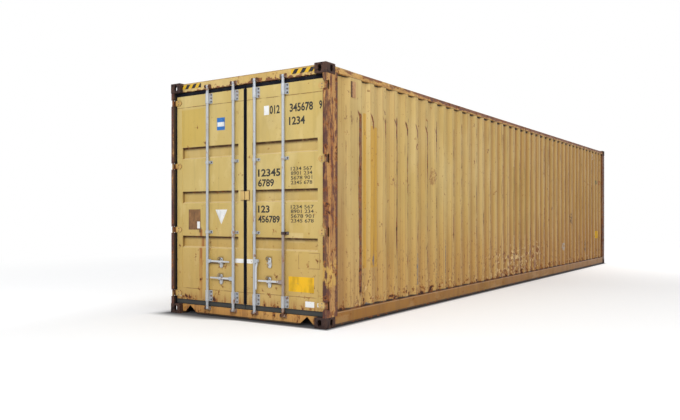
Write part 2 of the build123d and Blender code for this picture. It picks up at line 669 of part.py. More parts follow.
def leaf_frame():
    """The left leaf's frame: two closed stiles and two channels."""
    outer, inner = LEAF_OUTER_Y, LEAF_INNER_Y
    face, back = LEAF_FACE_IN, LEAF_BACK_IN
    pieces = []
    for low in (inner, outer - STILE_WIDTH):
        stile = door_block(face, back, low, low + STILE_WIDTH, LEAF_BOTTOM, LEAF_TOP)
        wall = STILE_WALL
        bore = door_block(face + wall, back - wall, low + wall, low + STILE_WIDTH - wall,
                          LEAF_BOTTOM + wall, LEAF_TOP - wall)
        pieces.append(stile.cut(bore))
    wall = LEAF_RAIL_WALL
    for low in (LEAF_BOTTOM, LEAF_TOP - LEAF_RAIL_HEIGHT):
        high = low + LEAF_RAIL_HEIGHT
        beam = door_block(face, back, inner + STILE_WIDTH, outer - STILE_WIDTH, low, high)
        trough = door_block(face + wall, back, inner + STILE_WIDTH, outer - STILE_WIDTH,
                            low + wall, high - wall)
        pieces.append(beam.cut(trough))
    return joined(pieces)


def leaf_panel():
    """The left leaf's pressed panel with three sunk bands."""
    low = LEAF_BOTTOM + LEAF_RAIL_HEIGHT
    high = LEAF_TOP - LEAF_RAIL_HEIGHT
    face = PANEL_FACE_IN
    sunk = face + PANEL_BAND_DEPTH
    half = PANEL_BAND_HEIGHT / 2
    line = [(low, face)]
    for z in PANEL_BANDS_Z:
        line.append((z - half, face))
        line.append((z - half + PANEL_BAND_SLOPE, sunk))
        line.append((z + half - PANEL_BAND_SLOPE, sunk))
        line.append((z + half, face))
    line.append((high, face))
    plane = Plane((-HALF_LENGTH, LEAF_INNER_Y + STILE_WIDTH, 0), x_dir=(0, 0, 1), z_dir=(0, 1, 0))
    width = LEAF_OUTER_Y - LEAF_INNER_Y - 2 * STILE_WIDTH
    return bent_sheet(line, SHEET, PANEL_BEND, plane, width)


def leaf_seal():
    """The left leaf's rubber seal, a ring with a thin lip on its back."""
    start, end = SEAL_START_IN, SEAL_START_IN + SEAL_DEPTH
    ring = door_block(start, end, LEAF_INNER_Y - SEAL_REACH_CENTRE, LEAF_OUTER_Y + SEAL_REACH_POST,
                      LEAF_BOTTOM - SEAL_REACH_LOW, LEAF_TOP + SEAL_REACH_HIGH)
    body = door_block(0, HALF_LENGTH, LEAF_INNER_Y, LEAF_OUTER_Y, LEAF_BOTTOM, LEAF_TOP)
    groove_in = start + SEAL_DEPTH / 2
    groove = door_block(groove_in, end - SEAL_LIP / 2, -LEAF_GAP, LEAF_OUTER_Y + LEAF_GAP,
                        LEAF_TOP + SEAL_REACH_HIGH - SEAL_LIP, HEIGHT)
    return ring.cut(body, groove)


def hinge_blade(z):
    """One hinge strap: knuckle, neck and a pointed plate on the leaf."""
    x = PIN_IN - HALF_LENGTH
    y = HALF_WIDTH - PIN_DEEP
    leaf_x = LEAF_FACE_IN - HALF_LENGTH
    tip = LEAF_OUTER_Y - BLADE_REACH
    knuckle = upright(KNUCKLE_RADIUS, x, y, z - KNUCKLE_HEIGHT / 2, z + KNUCKLE_HEIGHT / 2)
    neck = block(x, leaf_x, y - KNUCKLE_RADIUS / 2, y + KNUCKLE_RADIUS / 2,
                 z - BLADE_HEIGHT / 2, z + BLADE_HEIGHT / 2)
    half = BLADE_HEIGHT / 2
    outline = [(y + KNUCKLE_RADIUS / 2, z - half), (y + KNUCKLE_RADIUS / 2, z + half),
               (tip + BLADE_POINT, z + half), (tip, z + half - BLADE_POINT),
               (tip, z - half + BLADE_POINT), (tip + BLADE_POINT, z - half)]
    plane = Plane((leaf_x - BLADE_THICKNESS, 0, 0), x_dir=(0, 1, 0), z_dir=(1, 0, 0))
    plate = prism(outline, plane, BLADE_THICKNESS)
    bore = upright(PIN_RADIUS + PIN_CLEARANCE, x, y, z - KNUCKLE_HEIGHT, z + KNUCKLE_HEIGHT)
    return joined([knuckle, neck, plate]).cut(bore)


def rod_bracket(rod_y, z_low, z_high, ear, seat_in):
    """A bearing round a rod, with a bolted ear on its right, on a face at a depth from the door end."""
    x = ROD_IN - HALF_LENGTH
    foot_x = seat_in - HALF_LENGTH
    half = BRACKET_WIDE / 2
    barrel = upright(BRACKET_RADIUS, x, rod_y, z_low, z_high)
    saddle = block(x, foot_x, rod_y - BRACKET_RADIUS, rod_y + BRACKET_RADIUS, z_low, z_high)
    foot = block(foot_x - BRACKET_FOOT, foot_x, rod_y - half - ear, rod_y + half, z_low, z_high)
    corners = foot.edges().filter_by(Axis.X)
    foot = fillet(corners, BRACKET_ROUND)
    bore = upright(ROD_RADIUS + ROD_CLEARANCE, x, rod_y, z_low, z_high)
    return joined([barrel, saddle, foot]).cut(bore)


def rod_brackets(rod_ys):
    """All bearings of one leaf's rods."""
    solids = []
    for rod_y in rod_ys:
        solids.append(rod_bracket(rod_y, *TOP_BRACKET_Z, BRACKET_EAR, LEAF_FACE_IN))
        solids.append(rod_bracket(rod_y, *LOW_BRACKET_Z, BRACKET_EAR, LEAF_FACE_IN))
        for z in GUIDE_Z:
            half = GUIDE_HEIGHT / 2
            solids.append(rod_bracket(rod_y, z - half, z + half, 0, PANEL_FACE_IN))
    return solids


def cam(rod_y, direction, z_low):
    """A rod's locking cam: a domed hub with one rounded nose."""
    x = ROD_IN - HALF_LENGTH
    hub = upright(CAM_HUB_RADIUS, x, rod_y, z_low, z_low + CAM_HEIGHT)
    hub = chamfer(hub.edges().filter_by(GeomType.CIRCLE), CAM_CHAMFER)
    nose_end = rod_y + direction * (CAM_REACH - CAM_NOSE_WIDTH / 2)
    nose_low = z_low + (CAM_HEIGHT - CAM_NOSE_HEIGHT) / 2
    nose_high = nose_low + CAM_NOSE_HEIGHT
    nose = block(x - CAM_NOSE_WIDTH / 2, x + CAM_NOSE_WIDTH / 2, min(rod_y, nose_end),
                 max(rod_y, nose_end), nose_low, nose_high)
    tip = upright(CAM_NOSE_WIDTH / 2, x, nose_end, nose_low, nose_high)
    return joined([hub, nose, tip])


def lock_rod(number):
    """One lock rod with its cams, collars and the two ears that carry the handle."""
    rod_y = ROD_Y[number]
    direction = HANDLE_DIRECTION[number]
    z = HANDLE_Z[number]
    x = ROD_IN - HALF_LENGTH
    pivot_x = HANDLE_CENTRE_IN - HALF_LENGTH
    pivot_y = rod_y + direction * PIVOT_REACH
    tube = upright(ROD_RADIUS, x, rod_y, ROD_BOTTOM + CAM_HEIGHT / 2, ROD_TOP - CAM_HEIGHT / 2)
    pieces = [tube, cam(rod_y, direction, ROD_TOP - CAM_HEIGHT), cam(rod_y, direction, ROD_BOTTOM)]
    for low in (LOW_BRACKET_Z[0] - CAM_COLLAR_HEIGHT - 1, TOP_BRACKET_Z[1] + 1):
        pieces.append(upright(CAM_HUB_RADIUS, x, rod_y, low, low + CAM_COLLAR_HEIGHT))
    half_gap = HANDLE_THICKNESS / 2 + HUB_SIDE_GAP
    half_high = HUB_HEIGHT / 2
    for side in (-1, 1):
        near = pivot_x + side * half_gap
        far = pivot_x + side * (half_gap + HUB_EAR)
        low_x, high_x = min(near, far), max(near, far)
        ear = block(low_x, high_x, min(rod_y, pivot_y), max(rod_y, pivot_y),
                    z - half_high, z + half_high)
        pieces.append(ear)
        pieces.append(along_x(half_high, low_x, high_x, pivot_y, z))
    reach = half_gap + HUB_EAR
    pieces.append(along_x(PIVOT_RADIUS, pivot_x - reach, pivot_x + reach, pivot_y, z))
    return joined(pieces)


def handle(number):
    """One handle, a tapered bar with an eye and a rounded tip; the hanging one is bent outward."""
    direction = HANDLE_DIRECTION[number]
    z = HANDLE_Z[number]
    pivot_x = HANDLE_CENTRE_IN - HALF_LENGTH
    pivot_y = ROD_Y[number] + direction * PIVOT_REACH
    thick = HANDLE_THICKNESS
    half = HANDLE_HEIGHT / 2
    half_tip = HANDLE_TIP_HEIGHT / 2
    bend = HANDLE_BEND if HANDLE_HANGS[number] else 0.0
    back, front = thick / 2, -thick / 2 - bend
    far = HANDLE_LENGTH - half_tip
    outline = [(0, -half), (far, -half_tip), (far, half_tip), (0, half)]
    plane = Plane((front, 0, 0), x_dir=(0, 1, 0), z_dir=(1, 0, 0))
    bar = prism(outline, plane, back - front)
    eye = along_x(HANDLE_ROOT_RADIUS, front, back, 0, 0)
    tip = along_x(half_tip, front, back, far, 0)
    bore = along_x(PIVOT_RADIUS + PIN_CLEARANCE, -thick, thick, 0, 0)
    root = -2 * HANDLE_ROOT_RADIUS
    edge = [(root, -thick / 2), (HANDLE_BEND_START, -thick / 2), (HANDLE_BEND_END, bend - thick / 2),
            (HANDLE_LENGTH, bend - thick / 2), (HANDLE_LENGTH, bend + thick / 2),
            (HANDLE_BEND_END, bend + thick / 2), (HANDLE_BEND_START, thick / 2), (root, thick / 2)]
    edge_plane = Plane((0, 0, -HANDLE_ROOT_RADIUS), x_dir=(0, 1, 0), z_dir=(0, 0, 1))
    strip = prism(edge, edge_plane, 2 * HANDLE_ROOT_RADIUS)
    blank = (joined([bar, eye, tip]) & strip) - bore
    if HANDLE_HANGS[number]:
        blank = Rot(-90, 0, 0) * blank
    elif direction < 0:
        blank = blank.mirror(Plane.XZ)
    return Pos(pivot_x, pivot_y, z) * blank


def handle_retainer(number):
    """The catch that a handle drops into: a plate with an eye, its foot and the shelf welded on it."""
    direction = HANDLE_DIRECTION[number]
    z = HANDLE_Z[number]
    panel_x = PANEL_FACE_IN - HALF_LENGTH
    middle = ROD_Y[number] + direction * RETAINER_REACH
    half = RETAINER_WIDTH / 2
    top = z + RETAINER_TOP_OVER
    low = top - RETAINER_HEIGHT
    face = panel_x - RETAINER_STAND_OFF
    shelf_top = z - HANDLE_HEIGHT / 2 - RETAINER_SHELF_GAP
    outline = SlotOverall(RETAINER_HEIGHT, RETAINER_WIDTH)
    plane = Plane((face, middle, (low + top) / 2), x_dir=(0, 0, 1), z_dir=(-1, 0, 0))
    plate = extrude(plane * outline, amount=RETAINER_PLATE, dir=plane.z_dir)
    foot = block(face, panel_x, middle - half, middle + half, low + half, shelf_top)
    shelf_front = HANDLE_CENTRE_IN - HANDLE_THICKNESS / 2 - HALF_LENGTH
    shelf = block(shelf_front, face - RETAINER_PLATE, middle - half, middle + half,
                  shelf_top - RETAINER_SHELF, shelf_top)
    eye = along_x(RETAINER_HOLE, face - 2 * RETAINER_PLATE, face, middle, top - half)
    low_eye = along_x(RETAINER_LOW_HOLE, face - 2 * RETAINER_PLATE, face, middle, low + half / 2)
    return [plate.cut(eye, low_eye), foot, shelf]


def centre_plate():
    """The left half of the plate over the gap between the leaves."""
    face = LEAF_FACE_IN - CENTRE_PLATE_THICKNESS
    half = CENTRE_PLATE_HEIGHT / 2
    return door_block(face, LEAF_FACE_IN, CENTRE_PLATE_GAP / 2, CENTRE_PLATE_REACH,
                      CENTRE_PLATE_Z - half, CENTRE_PLATE_Z + half)


def cam_keepers():
    """A back plate and two chamfered lugs round each cam, on the header and the sill."""
    solids = []
    header_z = ROD_TOP - CAM_HEIGHT / 2
    sill_z = ROD_BOTTOM + CAM_HEIGHT / 2
    half = KEEPER_HEIGHT / 2
    for rod_y in ROD_Y:
        for middle_z in (header_z, sill_z):
            low = middle_z - half
            high = middle_z + half
            if middle_z == header_z:
                low = max(low, HEADER_BOTTOM)
            else:
                high = min(high, CASTING_HEIGHT)
            reach = KEEPER_GAP + KEEPER_THICKNESS
            back = FRAME_FACE_IN - KEEPER_BACK
            solids.append(door_block(back, FRAME_FACE_IN, rod_y - reach, rod_y + reach, low, high))
            cut = KEEPER_CHAMFER
            outline = [(back, low), (back, high), (KEEPER_FRONT_IN + cut, high),
                       (KEEPER_FRONT_IN, high - cut), (KEEPER_FRONT_IN, low + cut),
                       (KEEPER_FRONT_IN + cut, low)]
            points = [(deep - HALF_LENGTH, z) for deep, z in outline]
            for start in (rod_y + KEEPER_GAP, rod_y - reach):
                plane = Plane((0, start + KEEPER_THICKNESS, 0), x_dir=(1, 0, 0), z_dir=(0, -1, 0))
                solids.append(prism(points, plane, KEEPER_THICKNESS))
    return solids


def save(name, shape):
    """Write one sub-part; a list of solids becomes one compound."""
    if isinstance(shape, list):
        shape = Compound(children=shape)
    export_step(shape, os.path.join("parts", name + ".step"))


def save_pair(name, shape):
    """Write a piece and its mirror image as a left and a right sub-part."""
    mirrored = [right_hand(solid) for solid in shape] if isinstance(shape, list) else right_hand(shape)
    save(name + "_left", shape)
    save(name + "_right", mirrored)


os.makedirs("parts", exist_ok=True)

save("castings_door_bottom", castings_at(-1, True))
save("castings_door_top", castings_at(-1, False))
save("castings_front_bottom", castings_at(1, True))
save("castings_front_top", castings_at(1, False))
save_pair("door_post", door_post())
save_pair("front_post", front_post())
save_pair("top_rail", top_rail())
save_pair("bottom_rail", bottom_rail())
save_pair("side_wall", side_wall())
save("front_wall", front_wall())
save("roof", roof())
save("roof_guards", roof_guards())
save("door_header", door_header())
save("door_sill", door_sill())
save("front_header", end_header())
save("front_sill", end_sill())
save("gooseneck_tunnel", tunnel())
save("cross_members", cross_members())
save("floor_boards", floor_boards())
save_pair("ventilator", ventilator())
save_pair("hinge_lugs", hinge_lugs())
save("cam_keepers", cam_keepers())
save_pair("door_frame", leaf_frame())
save_pair("door_panel", leaf_panel())
save_pair("door_seal", leaf_seal())
save_pair("hinge_blades", [hinge_blade(z) for z in HINGE_Z])
save_pair("centre_plate", centre_plate())
save("rod_brackets_left", rod_brackets(ROD_Y[:2]))
save("rod_brackets_right", rod_brackets(ROD_Y[2:]))
save("handle_retainers_left", handle_retainer(0) + handle_retainer(1))
save("handle_retainers_right", handle_retainer(2) + handle_retainer(3))
for rod_number in range(len(ROD_Y)):
    save("lock_rod_%d" % (rod_number + 1), lock_rod(rod_number))
    save("handle_%d" % (rod_number + 1), handle(rod_number))
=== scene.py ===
"""Dresses a worn forty-foot high-cube shipping container and lights it on a plain pale floor."""
import logging
import math
from dataclasses import dataclass
from enum import Enum
from functools import lru_cache
from itertools import product
from typing import Any, Callable, Dict, Iterable, Optional, Sequence, Tuple, Union

import bmesh
import bpy
from mathutils import Matrix, Vector


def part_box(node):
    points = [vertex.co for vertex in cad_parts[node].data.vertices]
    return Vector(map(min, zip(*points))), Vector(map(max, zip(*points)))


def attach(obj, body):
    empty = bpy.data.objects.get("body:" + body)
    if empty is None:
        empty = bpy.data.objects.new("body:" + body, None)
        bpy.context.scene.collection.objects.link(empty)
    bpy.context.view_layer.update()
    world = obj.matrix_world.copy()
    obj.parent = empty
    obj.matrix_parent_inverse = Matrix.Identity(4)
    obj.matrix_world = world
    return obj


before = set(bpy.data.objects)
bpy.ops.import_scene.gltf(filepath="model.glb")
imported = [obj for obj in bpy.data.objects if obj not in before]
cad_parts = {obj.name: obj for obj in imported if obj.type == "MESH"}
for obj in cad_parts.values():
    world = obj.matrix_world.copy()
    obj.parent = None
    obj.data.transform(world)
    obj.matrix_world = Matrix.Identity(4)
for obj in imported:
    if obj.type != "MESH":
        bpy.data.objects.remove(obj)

Colour = Tuple[float, float, float, float]
Point = Tuple[float, float, float]
Span = Tuple[float, float]
Row = Tuple[float, ...]
Rows = Tuple[Row, ...]
Mesh = bmesh.types.BMesh
Material = bpy.types.Material

LOG = logging.getLogger("container")
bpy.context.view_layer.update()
DOOR_END = -6.096
HALF_WIDTH = 1.219
WALL_PITCH = 0.278
CAMERA: Point = (-12.017, -5.551, 1.227)
LEAVES = (("door_left", 1), ("door_right", -1))
WHITE: Colour = (1.0, 1.0, 1.0, 1.0)
BLACK: Colour = (0.0, 0.0, 0.0, 1.0)


def srgb(red: int, green: int, blue: int) -> Colour:
    """Turn a colour in 0 to 255 as seen on a screen into a linear one.

    Args:
        red: Red, 0 to 255.
        green: Green, 0 to 255.
        blue: Blue, 0 to 255.

    Returns:
        The linear colour with an alpha of 1.
    """
    shares = (red / 255, green / 255, blue / 255)
    return (*(share / 12.92 if share <= 0.04045 else ((share + 0.055) / 1.055) ** 2.4
              for share in shares), 1.0)


RUST_DARK = srgb(66, 38, 30)
RUST_MID = srgb(122, 66, 34)
RUST_ORANGE = srgb(168, 104, 50)
GRIME = srgb(70, 60, 46)
GREY_INSIDE = srgb(176, 172, 160)


def operator(kind: str, swapped: bool = False) -> Callable[..., "Wire"]:
    """Give a method that joins a wire to another term by a Math node.

    Args:
        kind: The node's operation.
        swapped: Whether the other term comes first.

    Returns:
        The method.
    """
    def join(self: "Wire", other: "Term" = 0) -> "Wire":
        """Join the wire to another term."""
        pair = (other, self) if swapped else (self, other)
        return self.tree.maths(kind, *pair)
    return join


class Wire:
    """A shader socket that takes part in Python arithmetic."""

    def __init__(self, tree: "Tree", socket: bpy.types.NodeSocket) -> None:
        """Keep the socket and the tree it belongs to."""
        self.tree = tree
        self.socket = socket

    __add__ = operator("ADD")
    __radd__ = operator("ADD", True)
    __sub__ = operator("SUBTRACT")
    __rsub__ = operator("SUBTRACT", True)
    __mul__ = operator("MULTIPLY")
    __rmul__ = operator("MULTIPLY", True)
    __truediv__ = operator("DIVIDE")
    __abs__ = operator("ABSOLUTE")
    __floor__ = operator("FLOOR")
    __round__ = operator("ROUND")
    fract = operator("FRACT")


Term = Union[float, Wire]
Paint = Union[Colour, Wire]


class Tree:
    """A node tree that is written from code."""

    def __init__(self, block: Union[Material, bpy.types.World]) -> None:
        """Empty the node tree of a material or a world.

        Args:
            block: The material or the world.
        """
        self.block = block
        block.use_nodes = True
        block.node_tree.nodes.clear()

    def node(self, kind: str, inputs: Optional[Dict[Any, Any]] = None,
             output: Union[int, str] = 0, **settings: Any) -> Wire:
        """Add any node.

        Args:
            kind: The node's type.
            inputs: Values or wires by socket name or number.
            output: The socket that is wanted.
            settings: The node's properties.

        Returns:
            The wanted output.
        """
        made = self.block.node_tree.nodes.new(kind)
        for key, value in settings.items():
            setattr(made, key, value)
        for key, value in (inputs or {}).items():
            if isinstance(value, Wire):
                self.block.node_tree.links.new(value.socket, made.inputs[key])
            else:
                made.inputs[key].default_value = value
        return Wire(self, made.outputs[output])

    def maths(self, operation: str, first: Term, second: Term = 0) -> Wire:
        """Add a Math node.

        Args:
            operation: The node's operation.
            first: The first value.
            second: The second value.

        Returns:
            The result.
        """
        return self.node("ShaderNodeMath", {0: first, 1: second}, operation=operation)

    def most(self, *terms: Wire) -> Wire:
        """Give the largest of some values.

        Args:
            terms: The values.

        Returns:
            The largest.
        """
        result = terms[0]
        for term in terms[1:]:
            result = self.maths("MAXIMUM", result, term)
        return result

    def seen_directly(self) -> Wire:
        """Give 1 for rays that show the backdrop itself.

        Returns:
            The mask.
        """
        path = self.node("ShaderNodeLightPath").socket.node
        return self.most(*(Wire(self, path.outputs["Is %s Ray" % kind])
                           for kind in ("Camera", "Glossy", "Transmission")))

    def close(self, shader: Wire) -> Any:
        """Lead a shader to the output and give the finished material or world.

        Args:
            shader: The finished shader.

        Returns:
            The material or the world.
        """
        world = isinstance(self.block, bpy.types.World)
        output = self.block.node_tree.nodes.new(
            "ShaderNodeOutputWorld" if world else "ShaderNodeOutputMaterial")
        self.block.node_tree.links.new(shader.socket, output.inputs["Surface"])
        return self.block


class Recipe(Tree):
    """The node tree of one finish, which keeps the colour laid so far."""

    def __init__(self, name: str) -> None:
        """Start an empty material.

        Args:
            name: The material's name.
        """
        super().__init__(bpy.data.materials.new(name))
        self.colour: Paint = BLACK
        self.place = self.node("ShaderNodeTexCoord", output="Object")
        self.x, self.y, self.z = self.split(self.place)
        self.facing = self.split(Wire(self, self.place.socket.node.outputs["Normal"]))
        self.along = self.x - DOOR_END

    @property
    def right(self) -> Wire:
        """Give 1 on the container's right half."""
        return self.smooth(0.5, -0.5, self.y)

    def split(self, vector: Wire) -> Sequence[Wire]:
        """Give a vector's three parts."""
        parts = self.node("ShaderNodeSeparateXYZ", {0: vector})
        return [Wire(self, output) for output in parts.socket.node.outputs]

    def smooth(self, low: Term, high: Term, value: Wire) -> Wire:
        """Ease from 0 at low to 1 at high; high may be the smaller one.

        Args:
            low: Where it is 0.
            high: Where it is 1.
            value: The value.

        Returns:
            The eased value.
        """
        return self.node("ShaderNodeMapRange",
                         {"Value": value, "From Min": low, "From Max": high},
                         interpolation_type="SMOOTHSTEP")

    def band(self, value: Wire, low: float, high: float, soft: float) -> Wire:
        """Give 1 between low and high and 0 outside, with soft ends."""
        rise = self.smooth(low - soft, low + soft, value)
        return rise * self.smooth(high + soft, high - soft, value)

    def patch(self, along: Wire, span: Span, levels: Span, soft: float) -> Wire:
        """Give 1 inside a rectangle of one coordinate and the height."""
        return self.band(along, *span, soft) * self.band(self.z, *levels, soft)

    def grain(self, scale: float, detail: float = 4, tall: float = 1, shift: float = 0,
              rough: float = 0.55, long: float = 1) -> Wire:
        """Add a noise on the object's own coordinates.

        Args:
            scale: Features per metre.
            detail: Octaves.
            tall: The scale's share upward; less than 1 draws the noise out.
            shift: An offset that makes it differ from others.
            rough: How strong the finer octaves are.
            long: The scale's share along the container.

        Returns:
            The noise, mostly 0.3 to 0.7.
        """
        mapped = self.node("ShaderNodeMapping", {
            "Vector": self.place, "Location": (shift, shift * 0.7, shift * 1.3),
            "Scale": (long, 1, tall)}, vector_type="POINT")
        return self.node("ShaderNodeTexNoise", {
            "Vector": mapped, "Scale": scale, "Detail": detail, "Roughness": rough},
                         noise_dimensions="3D")

    def spots(self, low: float, high: float, scale: float, *rest: float, **more: float) -> Wire:
        """Give 1 where a noise, described as for grain, is higher than high, 0 under low."""
        return self.smooth(low, high, self.grain(scale, *rest, **more))

    def chance(self, value: Wire) -> Wire:
        """Give one random number for each value, 0 to 1."""
        return self.node("ShaderNodeTexWhiteNoise", {"W": value}, noise_dimensions="1D")

    def blend(self, share: Term, first: Paint, second: Paint) -> Wire:
        """Mix two colours.

        Args:
            share: How much of the second, 0 to 1.
            first: The first colour.
            second: The second colour.

        Returns:
            The mixed colour.
        """
        return self.node("ShaderNodeMix", {0: share, 6: first, 7: second}, 2,
                         data_type="RGBA", clamp_factor=True)

    def lay(self, share: Term, paint: Paint) -> None:
        """Lay a paint over the colour so far, as thick as share, 0 to 1."""
        self.colour = self.blend(share, self.colour, paint)

    def tint(self, share: Term, red: int, green: int, blue: int) -> None:
        """Lay a colour of 0 to 255 over the colour so far."""
        self.lay(share, srgb(red, green, blue))

    def surface(self, roughness: Term, metallic: Term, height: Wire, depth: float,
                shine: float = 0.4) -> Material:
        """Close the recipe with its shader.

        Args:
            roughness: Roughness.
            metallic: Metallic.
            height: A height map for the bump.
            depth: How deep the bump is, in metres.
            shine: The specular level.

        Returns:
            The finished material.
        """
        bump = self.node("ShaderNodeBump", {"Strength": 1, "Distance": depth, "Height": height})
        return self.close(self.node("ShaderNodeBsdfPrincipled", {
            "Base Color": self.colour, "Roughness": roughness, "Metallic": metallic,
            "Specular IOR Level": shine, "Normal": bump}))


@dataclass(frozen=True)
class WornPaint:
    """A sprayed coat that fades, chips and rusts.

    Attributes:
        coat: The paint's main colour.
        pale: Its chalky, sun-bleached colour.
        rust: How much of it has rusted, 0 to 1.
        grime: How dirty it is, 0 to 1.
        shift: An offset of all its noises.
        inside: The colour of faces that look inward, if they differ.
        inward: The axis along which they look inward.
    """

    coat: Colour
    pale: Colour
    rust: float = 0.15
    grime: float = 0.3
    shift: float = 0
    inside: Optional[Colour] = None
    inward: int = 1

    def marks(self, r: Recipe) -> Optional[Wire]:
        """Add what only this coat has.

        Args:
            r: The recipe, with the coat's colour so far.

        Returns:
            A mask where rust gathers, if any.
        """
        return None

    def write(self, r: Recipe) -> Material:
        """Write the material.

        Args:
            r: The finish's recipe.

        Returns:
            The material.
        """
        shift = self.shift
        r.colour = r.blend(r.spots(0.4, 0.66, 0.9, 5, 0.6, shift), self.coat, self.pale)
        r.lay(r.spots(0.5, 0.72, 7, 4, 0.05, shift + 3.1) * 0.35, self.pale)
        gather = self.marks(r)
        dirt = r.spots(0.48, 0.7, 3, 6, 0.35, shift + 7.7)
        drip = r.spots(0.55, 0.72, 16, 3, 0.03, shift + 5.3)
        r.lay((dirt * 0.55 + drip * 0.45) * self.grime, GRIME)
        broken = r.grain(11, 8, 1, shift + 11.9, 0.62)
        specks = r.grain(46, 3, 0.7, shift + 17.3)
        level = 0.74 - 0.22 * self.rust
        if gather is not None:
            broken = broken + gather * 0.22
            specks = specks + gather * 0.08
        halo = r.most(r.smooth(level - 0.085, level + 0.01, broken),
                      r.smooth(0.69 - 0.05 * self.rust, 0.745, specks) * 0.8)
        core = r.smooth(level - 0.01, level + 0.05, broken)
        stain = r.blend(r.spots(0.4, 0.62, 30, 5, 1, shift + 2.2), RUST_MID, RUST_ORANGE)
        r.lay(halo * 0.85, stain)
        r.lay(core, RUST_DARK)
        if self.inside is not None:
            place = (r.x, r.y, r.z)[self.inward] * r.facing[self.inward]
            r.lay(r.smooth(0.02, 0.2, place * -1), r.blend(dirt * 0.4, self.inside, GRIME))
        height = (r.grain(2.6, 2, 1, shift + 1.7) + core * r.grain(90) * 0.22
                  - halo * 0.03 + r.grain(150, 2, 1, shift) * 0.012)
        rough = 0.5 + 0.38 * r.most(halo, core) + 0.1 * dirt
        return r.surface(rough, 0, height, 0.012)


